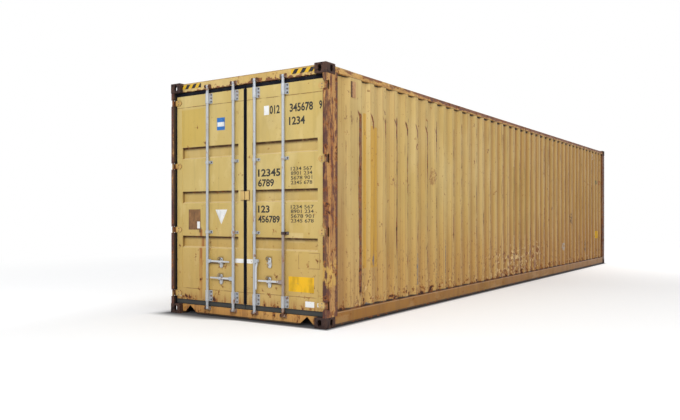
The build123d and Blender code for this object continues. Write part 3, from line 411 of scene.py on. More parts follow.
@dataclass(frozen=True)
class SideWallPaint(WornPaint):
    """The corrugated walls' coat, with rust down the edges of its ridges and repainted strips.

    Attributes:
        first: The first ridge's far edge, from the door end.
        pitch: The distance from ridge to ridge.
        near_strips: The strips repainted in a deeper yellow.
        far_strips: The strips repainted in olive.
        rusty: The ridges with the most rust on their edges, and how much.
        scars: The right wall's single marks: middle, level, half sizes and colour.
        rubs: Its blue rubs: middle, level and half sizes.
    """

    first: float = 0.706
    pitch: float = WALL_PITCH
    near_strips: Rows = ((0.797, 0.855, 0.61, 2.44), (0.912, 1.107, 0.61, 2.3))
    far_strips: Rows = (
        (5.64, 5.79, 0.88, 2.1), (5.943, 6.084, 0.88, 2.1), (6.23, 6.4, 0.88, 2.1),
        (6.51, 6.64, 0.88, 2.1))
    rusty: Rows = (
        (2, 0.35), (3, 0.85), (4, 0.7), (6, 0.5), (7, 0.6), (9, 0.95), (10, 0.75), (12, 0.5),
        (16, 0.7), (19, 0.5), (24, 0.8), (25, 0.6), (35, 0.55), (37, 0.9))
    scars: Rows = (
        (9.24, 1.17, 0.035, 0.1, 84, 60, 42), (8.69, 0.565, 0.04, 0.07, 172, 166, 158),
        (11.11, 2.67, 0.04, 0.07, 206, 198, 186), (11.44, 2.06, 0.05, 0.045, 84, 96, 66),
        (11.72, 2.06, 0.04, 0.045, 156, 74, 44), (2.08, 2.15, 0.03, 0.035, 132, 84, 46),
        (10.38, 0.52, 0.03, 0.15, 74, 56, 44), (2.56, 1.77, 0.06, 0.09, 158, 116, 66),
        (5.702, 0.7, 0.014, 0.26, 66, 48, 42), (5.98, 0.64, 0.016, 0.26, 62, 46, 42),
        (6.532, 0.68, 0.012, 0.24, 76, 54, 44), (2.652, 0.48, 0.012, 0.3, 84, 70, 66),
        (2.93, 0.56, 0.012, 0.33, 90, 78, 76))
    rubs: Rows = ((2.085, 0.52, 0.016, 0.15), (0.985, 0.69, 0.03, 0.05),
                  (2.93, 0.62, 0.012, 0.22), (0.87, 0.16, 0.03, 0.03))

    def strips(self, r: Recipe, places: Rows) -> Wire:
        """Give the strips that were painted again.

        Args:
            r: The recipe that is being written.
            places: Each strip's start, end, foot and top.

        Returns:
            A mask of the strips.
        """
        ragged = (r.grain(22, 3, 0.4, 3) - 0.5) * 0.012
        return r.most(*(r.patch(r.along + ragged, (start, end), (foot, top), 0.008)
                        for start, end, foot, top in places))

    def blot(self, r: Recipe, middle: Span, half: Span) -> Wire:
        """Give one ragged round mark.

        Args:
            r: The recipe that is being written.
            middle: Its place along the wall and its level.
            half: Half of its width and of its height.

        Returns:
            A mask of the mark.
        """
        aside = (r.along - middle[0]) / half[0]
        above = (r.z - middle[1]) / half[1]
        ragged = (r.grain(32, 5, 0.55, 66, 0.65) - 0.5) * 4
        return r.smooth(1.15, 0.85, aside * aside + above * above + ragged)

    def ridge_rust(self, r: Recipe, number: Wire, offset: Wire) -> Wire:
        """Give the thin ragged rust lines down the ridges' far edges.

        Args:
            r: The finish's recipe.
            number: The nearest ridge's number.
            offset: The distance from its edge.

        Returns:
            A mask of the rust.
        """
        luck = r.chance(number + 0.35)
        first = r.smooth(0.6, 0.4, abs(number)) * r.right
        strength = r.most(luck * 0.45, first)
        for ridge, amount in self.rusty:
            strength = r.most(strength, r.smooth(0.6, 0.4, abs(number - ridge)) * amount)
        ragged = r.grain(13, 5, 0.22, self.shift + 21)
        broken = r.smooth(0.32, 0.46, r.grain(5, 3, 0.35, self.shift + 4) + first * 0.3)
        reach = 0.006 + 0.018 * strength + first * 0.03 + (ragged - 0.5) * 0.075
        line = r.smooth(0, 0.004, reach - abs(offset - 0.002))
        top = 2.44 + 0.24 * luck * (1 - first)
        foot = 0.22 + 0.6 * r.chance(number + 7.1) * (1 - first)
        levels = r.smooth(0, 0.05, top - r.z) * r.smooth(0, 0.2, r.z - foot)
        hook_bend = abs(offset + 0.01 + r.most(r.z - 2.345, r.z * 0) * 0.55)
        hook = (r.smooth(0.019, 0.01, hook_bend + (ragged - 0.5) * 0.03)
                * r.band(r.z, 2.27, 2.44, 0.02) * r.smooth(0.2, 0.4, r.chance(number + 3.3))
                * r.smooth(9, 6, number))
        return r.most(line * levels * broken * r.smooth(0.02, 0.3, strength), hook)

    def scrapes(self, r: Recipe, raised: Wire) -> None:
        """Lay the chipped low stretch, the long scratches and the blue rubs.

        Args:
            r: The finish's recipe.
            raised: A mask of the ridges' outer faces.
        """
        area = r.most(r.band(r.along, 4.2, 7.6, 0.8) * r.smooth(0.95, 0.55, r.z),
                      r.smooth(0.75, 0.25, r.z) * 0.75)
        heart = r.band(r.along, 4.9, 7.3, 0.7) * r.band(r.z, 0.16, 0.62, 0.16) * r.right
        chips = r.grain(14, 6, 0.8, self.shift + 40, 0.62)
        chipped = (r.smooth(0.6, 0.66, chips + area * 0.1 + heart * 0.09 - 0.06)
                   * r.most(area, heart, r.z * 0 + 0.25))
        rim = r.spots(0.46, 0.58, 18, 5, 0.7, self.shift + 44)
        r.tint(chipped * rim * 0.8, 226, 196, 140)
        r.lay(chipped * (1 - rim) * 0.85, RUST_MID)
        scratch = (r.spots(0.655, 0.7, 15, 2, 0.07, self.shift + 50) * raised
                   * r.spots(0.5, 0.7, 1.6, 2, 1, 9))
        nicks = r.spots(0.665, 0.7, 13, 5, 0.55, self.shift + 71, 0.6)
        r.tint(r.most(scratch, nicks) * 0.75, 120, 78, 50)
        rub = r.most(*(self.blot(r, (middle, level), (wide * 1.3, tall * 1.2))
                       for middle, level, wide, tall in self.rubs))
        r.tint(rub * r.spots(0.36, 0.56, 60, 4, 0.25, 6) * r.right * 0.9, 78, 96, 112)

    def marks(self, r: Recipe) -> Optional[Wire]:
        """Add repaint, a browner lower half, painted shade in troughs, bends, the far end, under
        the top rail and at the foot, ridge-edge rust and scrapes.

        Args:
            r: The finish's recipe.

        Returns:
            A mask where rust gathers, if any.
        """
        wave = (r.along - self.first) / self.pitch
        number = round(wave)
        offset = (wave - number) * self.pitch
        side = abs(r.y)
        raised = r.smooth(HALF_WIDTH - 0.016, HALF_WIDTH - 0.011, side)
        sunk = r.smooth(HALF_WIDTH - 0.012, HALF_WIDTH - 0.042, side)
        low = r.smooth(1.55, 0.25, r.z)
        r.tint(low * 0.5, 186, 138, 64)
        # Browner towards the far end: deeper paint colour, and painted shade for the lamps'
        # falloff.
        r.tint(r.smooth(2, 11.5, r.along) * 0.54, 178, 122, 44)
        tone = r.chance(math.floor(wave + 0.26) + 0.7)
        r.tint(r.smooth(0.35, 1, tone) * 0.22, 176, 132, 66)
        far = r.smooth(2.2, 6.5, r.along)
        # Troughs tinted darker and deeper in colour: painted shade, and paint that faded less
        # there.
        r.tint(sunk * (0.08 + 0.22 * low + 0.52 * far), 152, 100, 42)
        r.tint(r.band(r.along, 0.2, 0.42, 0.04) * r.smooth(2.5, 0.9, r.z) * 0.5, 158, 116, 62)
        # Darker lines down the two bends of each trough: painted shade, broken into patches by the
        # noise named worn.
        creases = r.most(r.smooth(0.01, 0.003, abs(offset + 0.072)),
                         r.smooth(0.01, 0.003, abs(offset + 0.14)))
        worn = r.spots(0.44, 0.58, 7, 4, 0.15, self.shift + 33)
        r.lay(creases * worn * (0.4 + 0.4 * far),
              r.blend(far, srgb(160, 108, 56), srgb(126, 78, 42)))
        r.tint(self.strips(r, self.near_strips) * r.right * 0.8, 198, 150, 44)
        r.tint(self.strips(r, self.far_strips) * r.right * 0.7, 160, 124, 34)
        self.scrapes(r, raised)
        drip = r.spots(0.52, 0.7, 26, 3, 0.02, self.shift + 8)
        r.tint(drip * low * 0.45, 138, 86, 44)
        flecks = r.spots(0.6, 0.65, 34, 5, 0.45, self.shift + 81)
        r.tint(flecks * r.smooth(1.15, 0.3, r.z) * 0.75, 112, 66, 38)
        r.tint(r.spots(0.66, 0.7, 30, 4, 0.6, self.shift + 86) * 0.6, 140, 92, 52)
        edge = self.ridge_rust(r, number, offset)
        crust = r.spots(0.4, 0.6, 30, 4, 0.3, self.shift + 61)
        r.lay(edge * 0.92, r.blend(crust, srgb(132, 76, 46), srgb(82, 42, 36)))
        # Painted shadow under the top rail: deep in the troughs, a thin line on the ridges.
        hang = (r.grain(9, 3) - 0.5) * 0.02 - 0.02 * r.smooth(7, 2, r.along)
        under_rail_shadow = r.smooth(2.768, 2.778, r.z + hang) * (0.05 + 0.95 * sunk)
        under_rail_shadow = r.most(under_rail_shadow, r.smooth(2.8, 2.806, r.z) * 0.7)
        r.tint(under_rail_shadow, 12, 10, 10)
        broken = r.right * r.spots(0.42, 0.54, 48, 5, 0.6, 12, 0.62) * 0.9
        for middle, level, wide, tall, *tint in self.scars:
            r.tint(self.blot(r, (middle, level), (wide * 1.2, tall * 1.2)) * broken, *tint)
        # Dark foot of the wall along the bottom rail's ledge: rust and painted shade.
        r.tint(r.smooth(0.19, 0.178, r.z) * 0.95, 44, 30, 30)
        return r.most(edge * 0.8, r.smooth(0.36, 0.17, r.z) * 0.75)


@dataclass(frozen=True)
class LeafPaint(WornPaint):
    """The doors' coat, with a brighter patch where the left leaf was painted again.

    Attributes:
        bands: The sunk bands' middle levels.
        band_half: Half of a band's height.
        sunk_in: The depth past which the panel counts as sunk.
        handles: Where painted shade lies behind the lying handles: low Y and level.
        retainers: Where the handle retainers stand, with painted shade round them: Y and level.
    """

    bands: Row = (0.903, 1.457, 2.011)
    band_half: float = 0.073
    sunk_in: float = 0.063
    handles: Rows = ((0.33, 0.64), (0.17, 0.44), (-0.6, 0.44))
    retainers: Rows = ((0.382, 0.676), (0.384, 0.476), (-0.384, 0.702), (-0.382, 0.476))

    def pressed(self, r: Recipe) -> Wire:
        """Tint the sunk bands, paint shade (partly rust and grime) on their upper edges and ends,
        and paint a highlight on their lower edges.

        Args:
            r: The recipe that is being written.

        Returns:
            A mask of the dark undersides.
        """
        sunk = r.smooth(self.sunk_in, self.sunk_in + 0.006, r.along)
        slope = r.smooth(self.sunk_in - 0.006, self.sunk_in, r.along)
        # Painted shade, partly rust, on the bands' downward slopes and along the top of their sunk
        # faces.
        tops = [level + self.band_half for level in self.bands]
        near = r.most(*(r.smooth(top - 0.05, top - 0.012, r.z) * r.smooth(top + 0.01, top, r.z)
                        for top in tops))
        ragged = r.spots(0.32, 0.5, 18, 4, 1, 15)
        underside = r.smooth(0.25, 0.6, r.facing[2] * -1) * slope
        shade = r.most(underside, near * sunk * 0.75)
        r.tint(sunk * 0.22, 176, 134, 72)
        r.tint(shade * (0.7 + 0.3 * ragged), 64, 34, 22)
        # Painted highlight on the bands' upward slopes.
        r.tint(r.smooth(0.25, 0.6, r.facing[2]) * slope * 0.6, 236, 214, 160)
        # Painted shade, partly grime, on the bands' end faces.
        ends = r.smooth(0.7, 0.9, abs(r.facing[1])) * r.smooth(0.06, 0.064, r.along)
        r.tint(ends * 0.55, 96, 62, 36)
        return underside * ragged

    def marks(self, r: Recipe) -> Optional[Wire]:
        """Add the patch, weld lines, pale blotches, runs of rust, painted shade round the centre
        plates, handles and retainers, and the bands' painted shading.

        Args:
            r: The finish's recipe.

        Returns:
            A mask where rust gathers, if any.
        """
        r.tint(r.spots(0.52, 0.6, 4.2, 5, 0.5, 31) * 0.3, 224, 202, 142)
        low = r.smooth(1.6, 0.25, r.z)
        r.tint(low * 0.5, 192, 150, 78)
        ragged = (r.grain(14, 4, 1, 9) - 0.5) * 0.05
        r.tint(r.patch(r.y + ragged, (0.672, 1.075), (2.09, 2.56), 0.008) * 0.62, 200, 168, 72)
        broken = r.spots(0.34, 0.5, 9, 3, 1, 2)
        seams = r.most(r.band(r.z, 2.586, 2.592, 0.004), r.band(r.z, 0.318, 0.324, 0.004)) * broken
        r.tint(seams * 0.85, 112, 66, 36)
        ring = r.patch(r.y, (-1.098, -0.792), (0.636, 0.818), 0.004)
        ring = ring * (1 - r.patch(r.y, (-1.088, -0.802), (0.646, 0.808), 0.004)) * broken
        r.tint(ring * 0.6, 140, 100, 60)
        r.tint(r.patch(r.y, (-0.86, -0.6), (0.925, 1.035), 0.006) * 0.3, 226, 208, 156)
        wander = (r.grain(6, 3, 0.3, 12) - 0.5) * 0.03
        streak = r.patch(r.y + wander, (0.716, 0.768), (0.2, 1.06), 0.014)
        thread = r.spots(0.36, 0.58, 34, 5, 0.1, 44, 0.62)
        streak = streak * (0.45 + 0.55 * thread) * (0.6 + 0.4 * r.smooth(0.3, 0.75, r.z))
        r.tint(streak * 0.9, 170, 98, 34)
        r.tint(r.patch(r.y + wander * 0.6, (0.734, 0.75), (0.7, 1.04), 0.008) * 0.75, 128, 66, 32)
        r.tint(r.patch(r.y + wander, (0.736, 0.772), (1.02, 1.085), 0.01) * 0.85, 64, 38, 28)
        # Painted shadow round the centre plates.
        r.tint(r.patch(r.y, (-0.076, 0.076), (1.4, 1.532), 0.005) * 0.55, 120, 72, 40)
        # Painted shadow behind the lying handles.
        behind = r.most(*(r.patch(r.y, (low_y, low_y + 0.27), (foot, foot + 0.024), 0.006)
                          for low_y, foot in self.handles))
        r.tint(behind * 0.75, 84, 56, 36)
        # Painted shade round each handle retainer.
        for middle, level in self.retainers:
            about = r.patch(r.y, (middle - 0.028, middle + 0.052),
                            (level - 0.075, level + 0.06), 0.014)
            r.tint(about * 0.5, 88, 60, 38)
        foot = r.smooth(0.32, 0.18, r.z)
        runs = r.spots(0.5, 0.66, 30, 3, 0.08, 51)
        r.tint(foot * (0.3 + 0.55 * runs), 156, 98, 44)
        dark = self.pressed(r)
        return r.most(seams * 0.5, foot * 0.65, dark * 0.5, low * 0.25)


@dataclass(frozen=True)
class PostPaint(WornPaint):
    """The corner posts' coat, streaked with rust, with painted shade on the inner face beside the
    doors and in the hinge pockets.
    """

    def marks(self, r: Recipe) -> Optional[Wire]:
        """Add rust down the edges, grime and painted shade on the inner face, painted shadow in
        the hinge pockets and the right post's brighter patch.

        Args:
            r: The finish's recipe.

        Returns:
            A mask where rust gathers, if any.
        """
        side = abs(r.facing[1])
        edge = r.most(r.smooth(0.13, 0.215, r.along), r.smooth(0.05, 0, r.along) * 0.7)
        flow = r.grain(13, 6, 0.1, self.shift + 31, 0.62)
        flakes = r.grain(24, 7, 0.35, self.shift + 37, 0.66)
        r.tint(r.smooth(0.44, 0.58, flow), 150, 90, 44)
        left = r.smooth(0.9, 1.1, r.y) * 0.06
        rust = r.smooth(0.52, 0.58, flakes * 0.52 + flow * 0.55 + edge * 0.1 * side + left - 0.01)
        r.tint(rust * 0.92, 92, 44, 28)
        rim = r.most(r.smooth(0.196, 0.212, r.along) * side, r.smooth(0.02, 0.008, r.along))
        ragged_rim = r.spots(0.34, 0.5, 22, 5, 0.25, self.shift + 5)
        r.tint(rim * ragged_rim * 0.85, 70, 34, 32)
        r.tint(r.spots(0.6, 0.66, 60, 4, 0.5, self.shift + 3) * 0.6, 60, 34, 34)
        r.tint(r.smooth(5, 8, r.along) * (0.45 + 0.35 * flow), 74, 40, 32)
        # Inner face beside the leaf: painted shade and grime, near-black at its back.
        inner = r.smooth(0.5, 0.8, r.y * r.facing[1] * -0.9) * r.smooth(0.2, 0.17, r.along)
        r.tint(inner * 0.9, 58, 46, 34)
        r.tint(inner * r.smooth(0.026, 0.034, r.along), 16, 17, 26)
        patch = (r.band(r.z + (r.grain(12) - 0.5) * 0.12, 0.44, 0.72, 0.03)
                 * r.smooth(-1, -1.1, r.y) * r.smooth(0.21, 0.17, r.along)
                 * r.spots(0.4, 0.52, 16, 6, 0.5, 3))
        r.tint(patch * 0.85, 220, 176, 88)
        # Painted shadow inside the hinge pockets.
        faces = r.most(abs(r.facing[2]), r.smooth(0.05, 0.06, r.along) * abs(r.facing[0]))
        pocket_shadow = r.smooth(0.07, 0.066, r.along) * r.smooth(0.5, 0.8, faces)
        r.tint(pocket_shadow, 22, 16, 16)
        return r.most(edge * 0.3, r.smooth(0.9, 0.12, r.z) * 0.25) - inner - pocket_shadow


@dataclass(frozen=True)
class HeaderPaint(WornPaint):
    """The coat of the beam over the doors, rusted along its lower edge."""

    def marks(self, r: Recipe) -> Optional[Wire]:
        """Add the ragged rust and a thin brown upper edge.

        Args:
            r: The finish's recipe.

        Returns:
            A mask where rust gathers, if any.
        """
        ragged = r.grain(16, 6, 1, self.shift + 6, 0.62)
        right = r.smooth(0.9, -0.6, r.y)
        low = r.smooth(0, 0.01, 0.01 + (ragged - 0.47) * 0.26 * (0.5 + 0.5 * right)
                       - (r.z - 2.785))
        r.tint(low * 0.9, 110, 58, 40)
        upper = r.smooth(2.876, 2.884, r.z + (ragged - 0.5) * 0.02)
        r.tint(upper * 0.6, 120, 74, 46)
        return low * 0.3


@dataclass(frozen=True)
class SillPaint(WornPaint):
    """The sill's coat, stained downward, with painted shade behind its front plate and a painted
    shadow along its foot.
    """

    def marks(self, r: Recipe) -> Optional[Wire]:
        """Add the stains, paint shade black behind the front and paint a shadow along the foot.

        Args:
            r: The finish's recipe.

        Returns:
            A mask where rust gathers, if any.
        """
        stains = r.spots(0.48, 0.6, 16, 5, 0.12, self.shift + 4)
        r.tint(stains * 0.42, 116, 68, 38)
        # Painted shade, black, behind the front plate, and a painted shadow along the foot.
        behind = r.smooth(0.06, 0.066, r.along) * r.smooth(0.13, 0.122, r.z)
        foot = r.smooth(0.034, 0.028, r.z)
        r.tint(r.most(behind, foot * 0.9), 12, 11, 12)
        return r.smooth(0.5, 0.6, stains) * 0.2 - behind


@dataclass(frozen=True)
class HingePaint(WornPaint):
    """The hinge straps' coat, rusted round the knuckles."""

    def marks(self, r: Recipe) -> Optional[Wire]:
        """Darken the knuckles with rust and darken the straps' side faces.

        Args:
            r: The finish's recipe.

        Returns:
            A mask where rust gathers, if any.
        """
        knuckle = r.smooth(1.17, 1.184, abs(r.y))
        flakes = r.spots(0.4, 0.56, 30, 6, 0.6, self.shift + 2)
        r.tint(knuckle * (0.5 + 0.45 * flakes), 92, 50, 32)
        # The straps' side faces, picked by their direction, are darkened into an outline.
        r.tint(r.smooth(0.3, 0.7, 1 - abs(r.facing[0])) * 0.9, 84, 50, 32)
        return knuckle * 0.4


@dataclass(frozen=True)
class TopRailPaint(WornPaint):
    """The top rails' coat, rusted through along its upper half in the middle stretch."""

    def marks(self, r: Recipe) -> Optional[Wire]:
        """Add the red-brown upper edge.

        Args:
            r: The finish's recipe.

        Returns:
            A mask where rust gathers, if any.
        """
        flakes = r.grain(10, 7, 1, self.shift + 13, 0.64, long=0.35)
        stretch = 0.35 + 0.65 * r.smooth(1.5, 3.2, r.along)
        high = r.smooth(2.812, 2.856, r.z)
        rust = r.smooth(0.43, 0.53, flakes * 0.8 + high * 0.34 * stretch)
        r.tint(r.smooth(2.855, 2.835, r.z) * 0.35, 196, 146, 76)
        small = r.spots(0.5, 0.58, 30, 6, 1, self.shift + 19, 0.62, long=0.45)
        r.tint(small * (0.2 + 0.6 * stretch), 142, 80, 38)
        r.lay(rust * 0.9, r.blend(small, srgb(118, 62, 38), srgb(84, 44, 32)))
        return high * 0.3 * stretch


@dataclass(frozen=True)
class BottomRailPaint(WornPaint):
    """The bottom rails' coat, with a dark ledge under the wall and dents."""

    def marks(self, r: Recipe) -> Optional[Wire]:
        """Blacken the ledge (rust and painted shade), paint a shadow along the foot and a
        highlight line under the top edge, and add scuffs and runs.

        Args:
            r: The finish's recipe.

        Returns:
            A mask where rust gathers, if any.
        """
        runs = r.spots(0.48, 0.66, 20, 4, 0.1, self.shift + 2)
        r.tint(runs * 0.35, 126, 82, 42)
        r.tint(r.spots(0.58, 0.66, 5, 6, 1, self.shift + 9, long=0.35) * 0.45, 178, 138, 84)
        # Dark ledge under the wall: rust and painted shade.
        ledge = r.smooth(0.5, 0.8, r.facing[2]) * r.smooth(0.12, 0.15, r.z)
        r.tint(ledge * 0.92, 44, 30, 30)
        # Painted shadow along the rail's foot.
        r.tint(r.smooth(0.04, 0.03, r.z) * 0.9, 36, 26, 24)
        # Painted highlight line just under the rail's top edge.
        r.tint(r.band(r.z, 0.15, 0.158, 0.002) * 0.5, 196, 160, 128)
        return r.smooth(0.05, 0.02, r.z) * 0.5


@dataclass(frozen=True)
class CastSteel:
    """The corner castings: rusted dark brown with traces of old paint."""

    def write(self, r: Recipe) -> Material:
        """Write the material.

        Args:
            r: The finish's recipe.

        Returns:
            The material.
        """
        r.colour = r.blend(r.spots(0.38, 0.62, 6, 6), srgb(56, 38, 34), srgb(78, 52, 40))
        r.tint(r.spots(0.63, 0.7, 9, 7, 1, 4) * 0.6, 132, 102, 64)
        scale = r.spots(0.5, 0.62, 24, 6, 1, 8)
        r.tint(scale * 0.8, 36, 26, 27)
        height = r.grain(60, 5) * 0.5 + scale * 0.3
        return r.surface(0.72 + 0.2 * scale, 0.15, height, 0.003)


@dataclass(frozen=True)
class Galvanised:
    """Zinc-coated steel of the lock gear, with rust that runs from its joints.

    Attributes:
        zinc: The clean metal's colour.
        rust: How much of it has rusted, 0 to 1.
        brown_below: The height under which it is brown, if it is.
        dark_guide: Whether the right rod's lower guide is dark.
    """

    zinc: Colour = srgb(180, 185, 191)
    rust: float = 0.06
    brown_below: float = 0
    dark_guide: bool = False

    def write(self, r: Recipe) -> Material:
        """Write the material.

        Args:
            r: The finish's recipe.

        Returns:
            The material.
        """
        flake = r.spots(0.35, 0.65, 38, 3, 0.5)
        r.colour = r.blend(flake * 0.35, self.zinc, srgb(164, 171, 180))
        r.tint(r.spots(0.45, 0.68, 5, 5, 0.3, 3) * 0.35, 162, 156, 148)
        pits = r.grain(19, 7, 0.6, 13)
        ends = r.most(r.smooth(2.7, 2.8, r.z), r.smooth(0.2, 0.1, r.z))
        pits = pits + 0.12 * ends
        if self.brown_below > 0:
            under = r.smooth(self.brown_below + 0.02, self.brown_below - 0.02, r.z)
            pits = pits + 0.08 * under
            r.tint(under * 0.75, 142, 120, 106)
        # Painted shade on downward faces.
        r.tint(r.smooth(0.25, 0.85, r.facing[2] * -1) * 0.6, 84, 82, 86)
        level = 0.72 - 0.2 * self.rust
        stain = r.smooth(level - 0.09, level, pits)
        core = r.smooth(level, level + 0.06, pits)
        r.tint(stain * 0.8, 150, 104, 66)
        r.tint(core * 0.9, 84, 52, 38)
        if self.dark_guide:
            spot = r.patch(r.y, (-0.66, -0.55), (1, 1.06), 0.004)
            r.tint(spot * 0.95, 54, 28, 30)
        height = r.grain(70, 3) * 0.2 + core * 0.3
        rough = 0.42 + 0.4 * r.most(stain, core)
        return r.surface(rough, 0.25 * (1 - r.most(stain, core)), height, 0.0015, 0.5)


@dataclass(frozen=True)
class SealRubber:
    """Black door rubber with dust in its grooves."""

    def write(self, r: Recipe) -> Material:
        """Write the material.

        Args:
            r: The finish's recipe.

        Returns:
            The material.
        """
        dust = r.spots(0.45, 0.7, 8, 6, 0.5)
        low = r.smooth(0.2, 0.15, r.z)
        r.colour = r.blend(dust * 0.15 + low * 0.7, srgb(12, 14, 26), srgb(84, 84, 80))
        height = r.grain(120, 2, 0.2) * 0.3
        return r.surface(0.8 + 0.15 * dust, 0, height, 0.001, 0.12)


@dataclass(frozen=True)
class FloorPly:
    """Brown-stained plywood floor panels with joints, grain and forklift scuffs."""

    panel_length: float = 2.4
    panel_width: float = 1.16

    def write(self, r: Recipe) -> Material:
        """Write the material.

        Args:
            r: The finish's recipe.

        Returns:
            The material.
        """
        fibre = r.grain(22, 6, long=0.12)
        r.colour = r.blend(r.smooth(0.32, 0.68, fibre), srgb(92, 58, 40), srgb(138, 96, 66))
        across = (r.y / self.panel_width + 0.5 + 10).fract()
        along = (r.x / self.panel_length + 10).fract()
        joint = r.most(r.smooth(0.004, 0.0015, abs(across - 0.5)),
                       r.smooth(0.0025, 0.001, abs(along - 0.5)))
        tone = r.chance(math.floor(r.x / self.panel_length + 0.5 + 10) + 0.4)
        r.tint(tone * 0.25, 70, 44, 32)
        scuff = r.spots(0.56, 0.7, 2.4, 6, 1, 6, long=0.3)
        r.tint(scuff * 0.5, 150, 130, 110)
        r.tint(joint, 26, 20, 18)
        height = fibre * 0.2 - joint * 0.8
        return r.surface(0.68 + 0.2 * scuff, 0, height, 0.002)


@dataclass(frozen=True)
class BitumenCoat:
    """The black wax under the floor, with road dirt and rust, and painted shade near the door end.
    """

    def write(self, r: Recipe) -> Material:
        """Write the material.

        Args:
            r: The finish's recipe.

        Returns:
            The material.
        """
        dirt = r.spots(0.42, 0.66, 4, 6)
        r.colour = r.blend(dirt * 0.7, srgb(34, 32, 31), srgb(98, 84, 68))
        r.lay(r.spots(0.6, 0.68, 9, 7, 1, 5) * 0.85, RUST_MID)
        # Painted shade: near-black within half a metre of the door end.
        r.tint(r.smooth(0.75, 0.45, r.along), 10, 10, 11)
        height = r.grain(35) * 0.5
        return r.surface(0.6 + 0.3 * dirt, 0, height, 0.003)


@dataclass(frozen=True)
class FadedPlastic:
    """The ventilators' cover, bleached to a dusty pink."""

    def write(self, r: Recipe) -> Material:
        """Write the material.

        Args:
            r: The finish's recipe.

        Returns:
            The material.
        """
        bleach = r.spots(0.38, 0.64, 14, 5)
        r.colour = r.blend(bleach, srgb(178, 132, 88), srgb(194, 150, 108))
        r.tint(r.spots(0.55, 0.72, 30, 4, 0.4, 2) * 0.6, 96, 76, 62)
        # Painted shadow on the cover's part nearest the doors and along its lower edge.
        shaded = r.smooth(0.522, 0.508, r.along)
        r.tint(r.most(shaded, r.smooth(2.585, 2.565, r.z)) * 0.85, 58, 38, 28)
        return r.surface(0.55 + 0.2 * bleach, 0, r.grain(110, 2) * 0.2, 0.001)


@dataclass(frozen=True)
class SheetVinyl:
    """A label's or tape's film, scuffed and dirty.

    Attributes:
        film: Its colour.
        worn: How worn it is, 0 to 1.
    """

    film: Colour
    worn: float = 0.3

    def write(self, r: Recipe) -> Material:
        """Write the material.

        Args:
            r: The finish's recipe.

        Returns:
            The material.
        """
        scuff = r.spots(0.66 - 0.14 * self.worn, 0.72 - 0.1 * self.worn, 40, 6, 1, 19)
        dirt = r.spots(0.45, 0.68, 9, 5, 0.4, 23)
        r.colour = r.blend(dirt * 0.35, self.film, GRIME)
        r.tint(scuff * 0.75, 170, 140, 92)
        return r.surface(0.42 + 0.35 * r.most(scuff, dirt), 0, r.grain(90, 2) * 0.2, 0.0006)


@dataclass(frozen=True)
class HazardFilm:
    """Yellow film with slanted black bars.

    Attributes:
        spacing: The distance from bar to bar along the strip.
    """

    spacing: float = 0.115

    def write(self, r: Recipe) -> Material:
        """Write the material.

        Args:
            r: The finish's recipe.

        Returns:
            The material.
        """
        slant = (r.y * -1 - r.z * 0.75) / self.spacing
        bars = r.smooth(0.235, 0.255, abs((slant + 50).fract() - 0.5))
        r.colour = r.blend(bars, srgb(222, 178, 40), srgb(24, 22, 26))
        scuff = r.spots(0.64, 0.7, 34, 6, 1, 27)
        r.tint(scuff * 0.7, 160, 128, 84)
        return r.surface(0.45 + 0.35 * scuff, 0, r.grain(80, 2) * 0.2, 0.0006)


@dataclass(frozen=True)
class BrownPlate:
    """The data plate's tarnished metal."""

    def write(self, r: Recipe) -> Material:
        """Write the material.

        Args:
            r: The finish's recipe.

        Returns:
            The material.
        """
        tarnish = r.spots(0.36, 0.64, 16, 6)
        r.colour = r.blend(tarnish, srgb(124, 88, 56), srgb(156, 116, 76))
        rows = r.smooth(0.3, 0.4, abs((r.z / 0.0125).fract() - 0.5))
        words = r.spots(0.44, 0.52, 190, 2, 0.3, 8)
        r.tint(rows * words * 0.55, 78, 56, 42)
        dark = r.spots(0.56, 0.66, 30, 5, 0.5, 4)
        r.tint(dark * 0.7, 66, 42, 32)
        return r.surface(0.5 + 0.3 * tarnish, 0.35 * (1 - dark), r.grain(60, 3) * 0.2, 0.001)


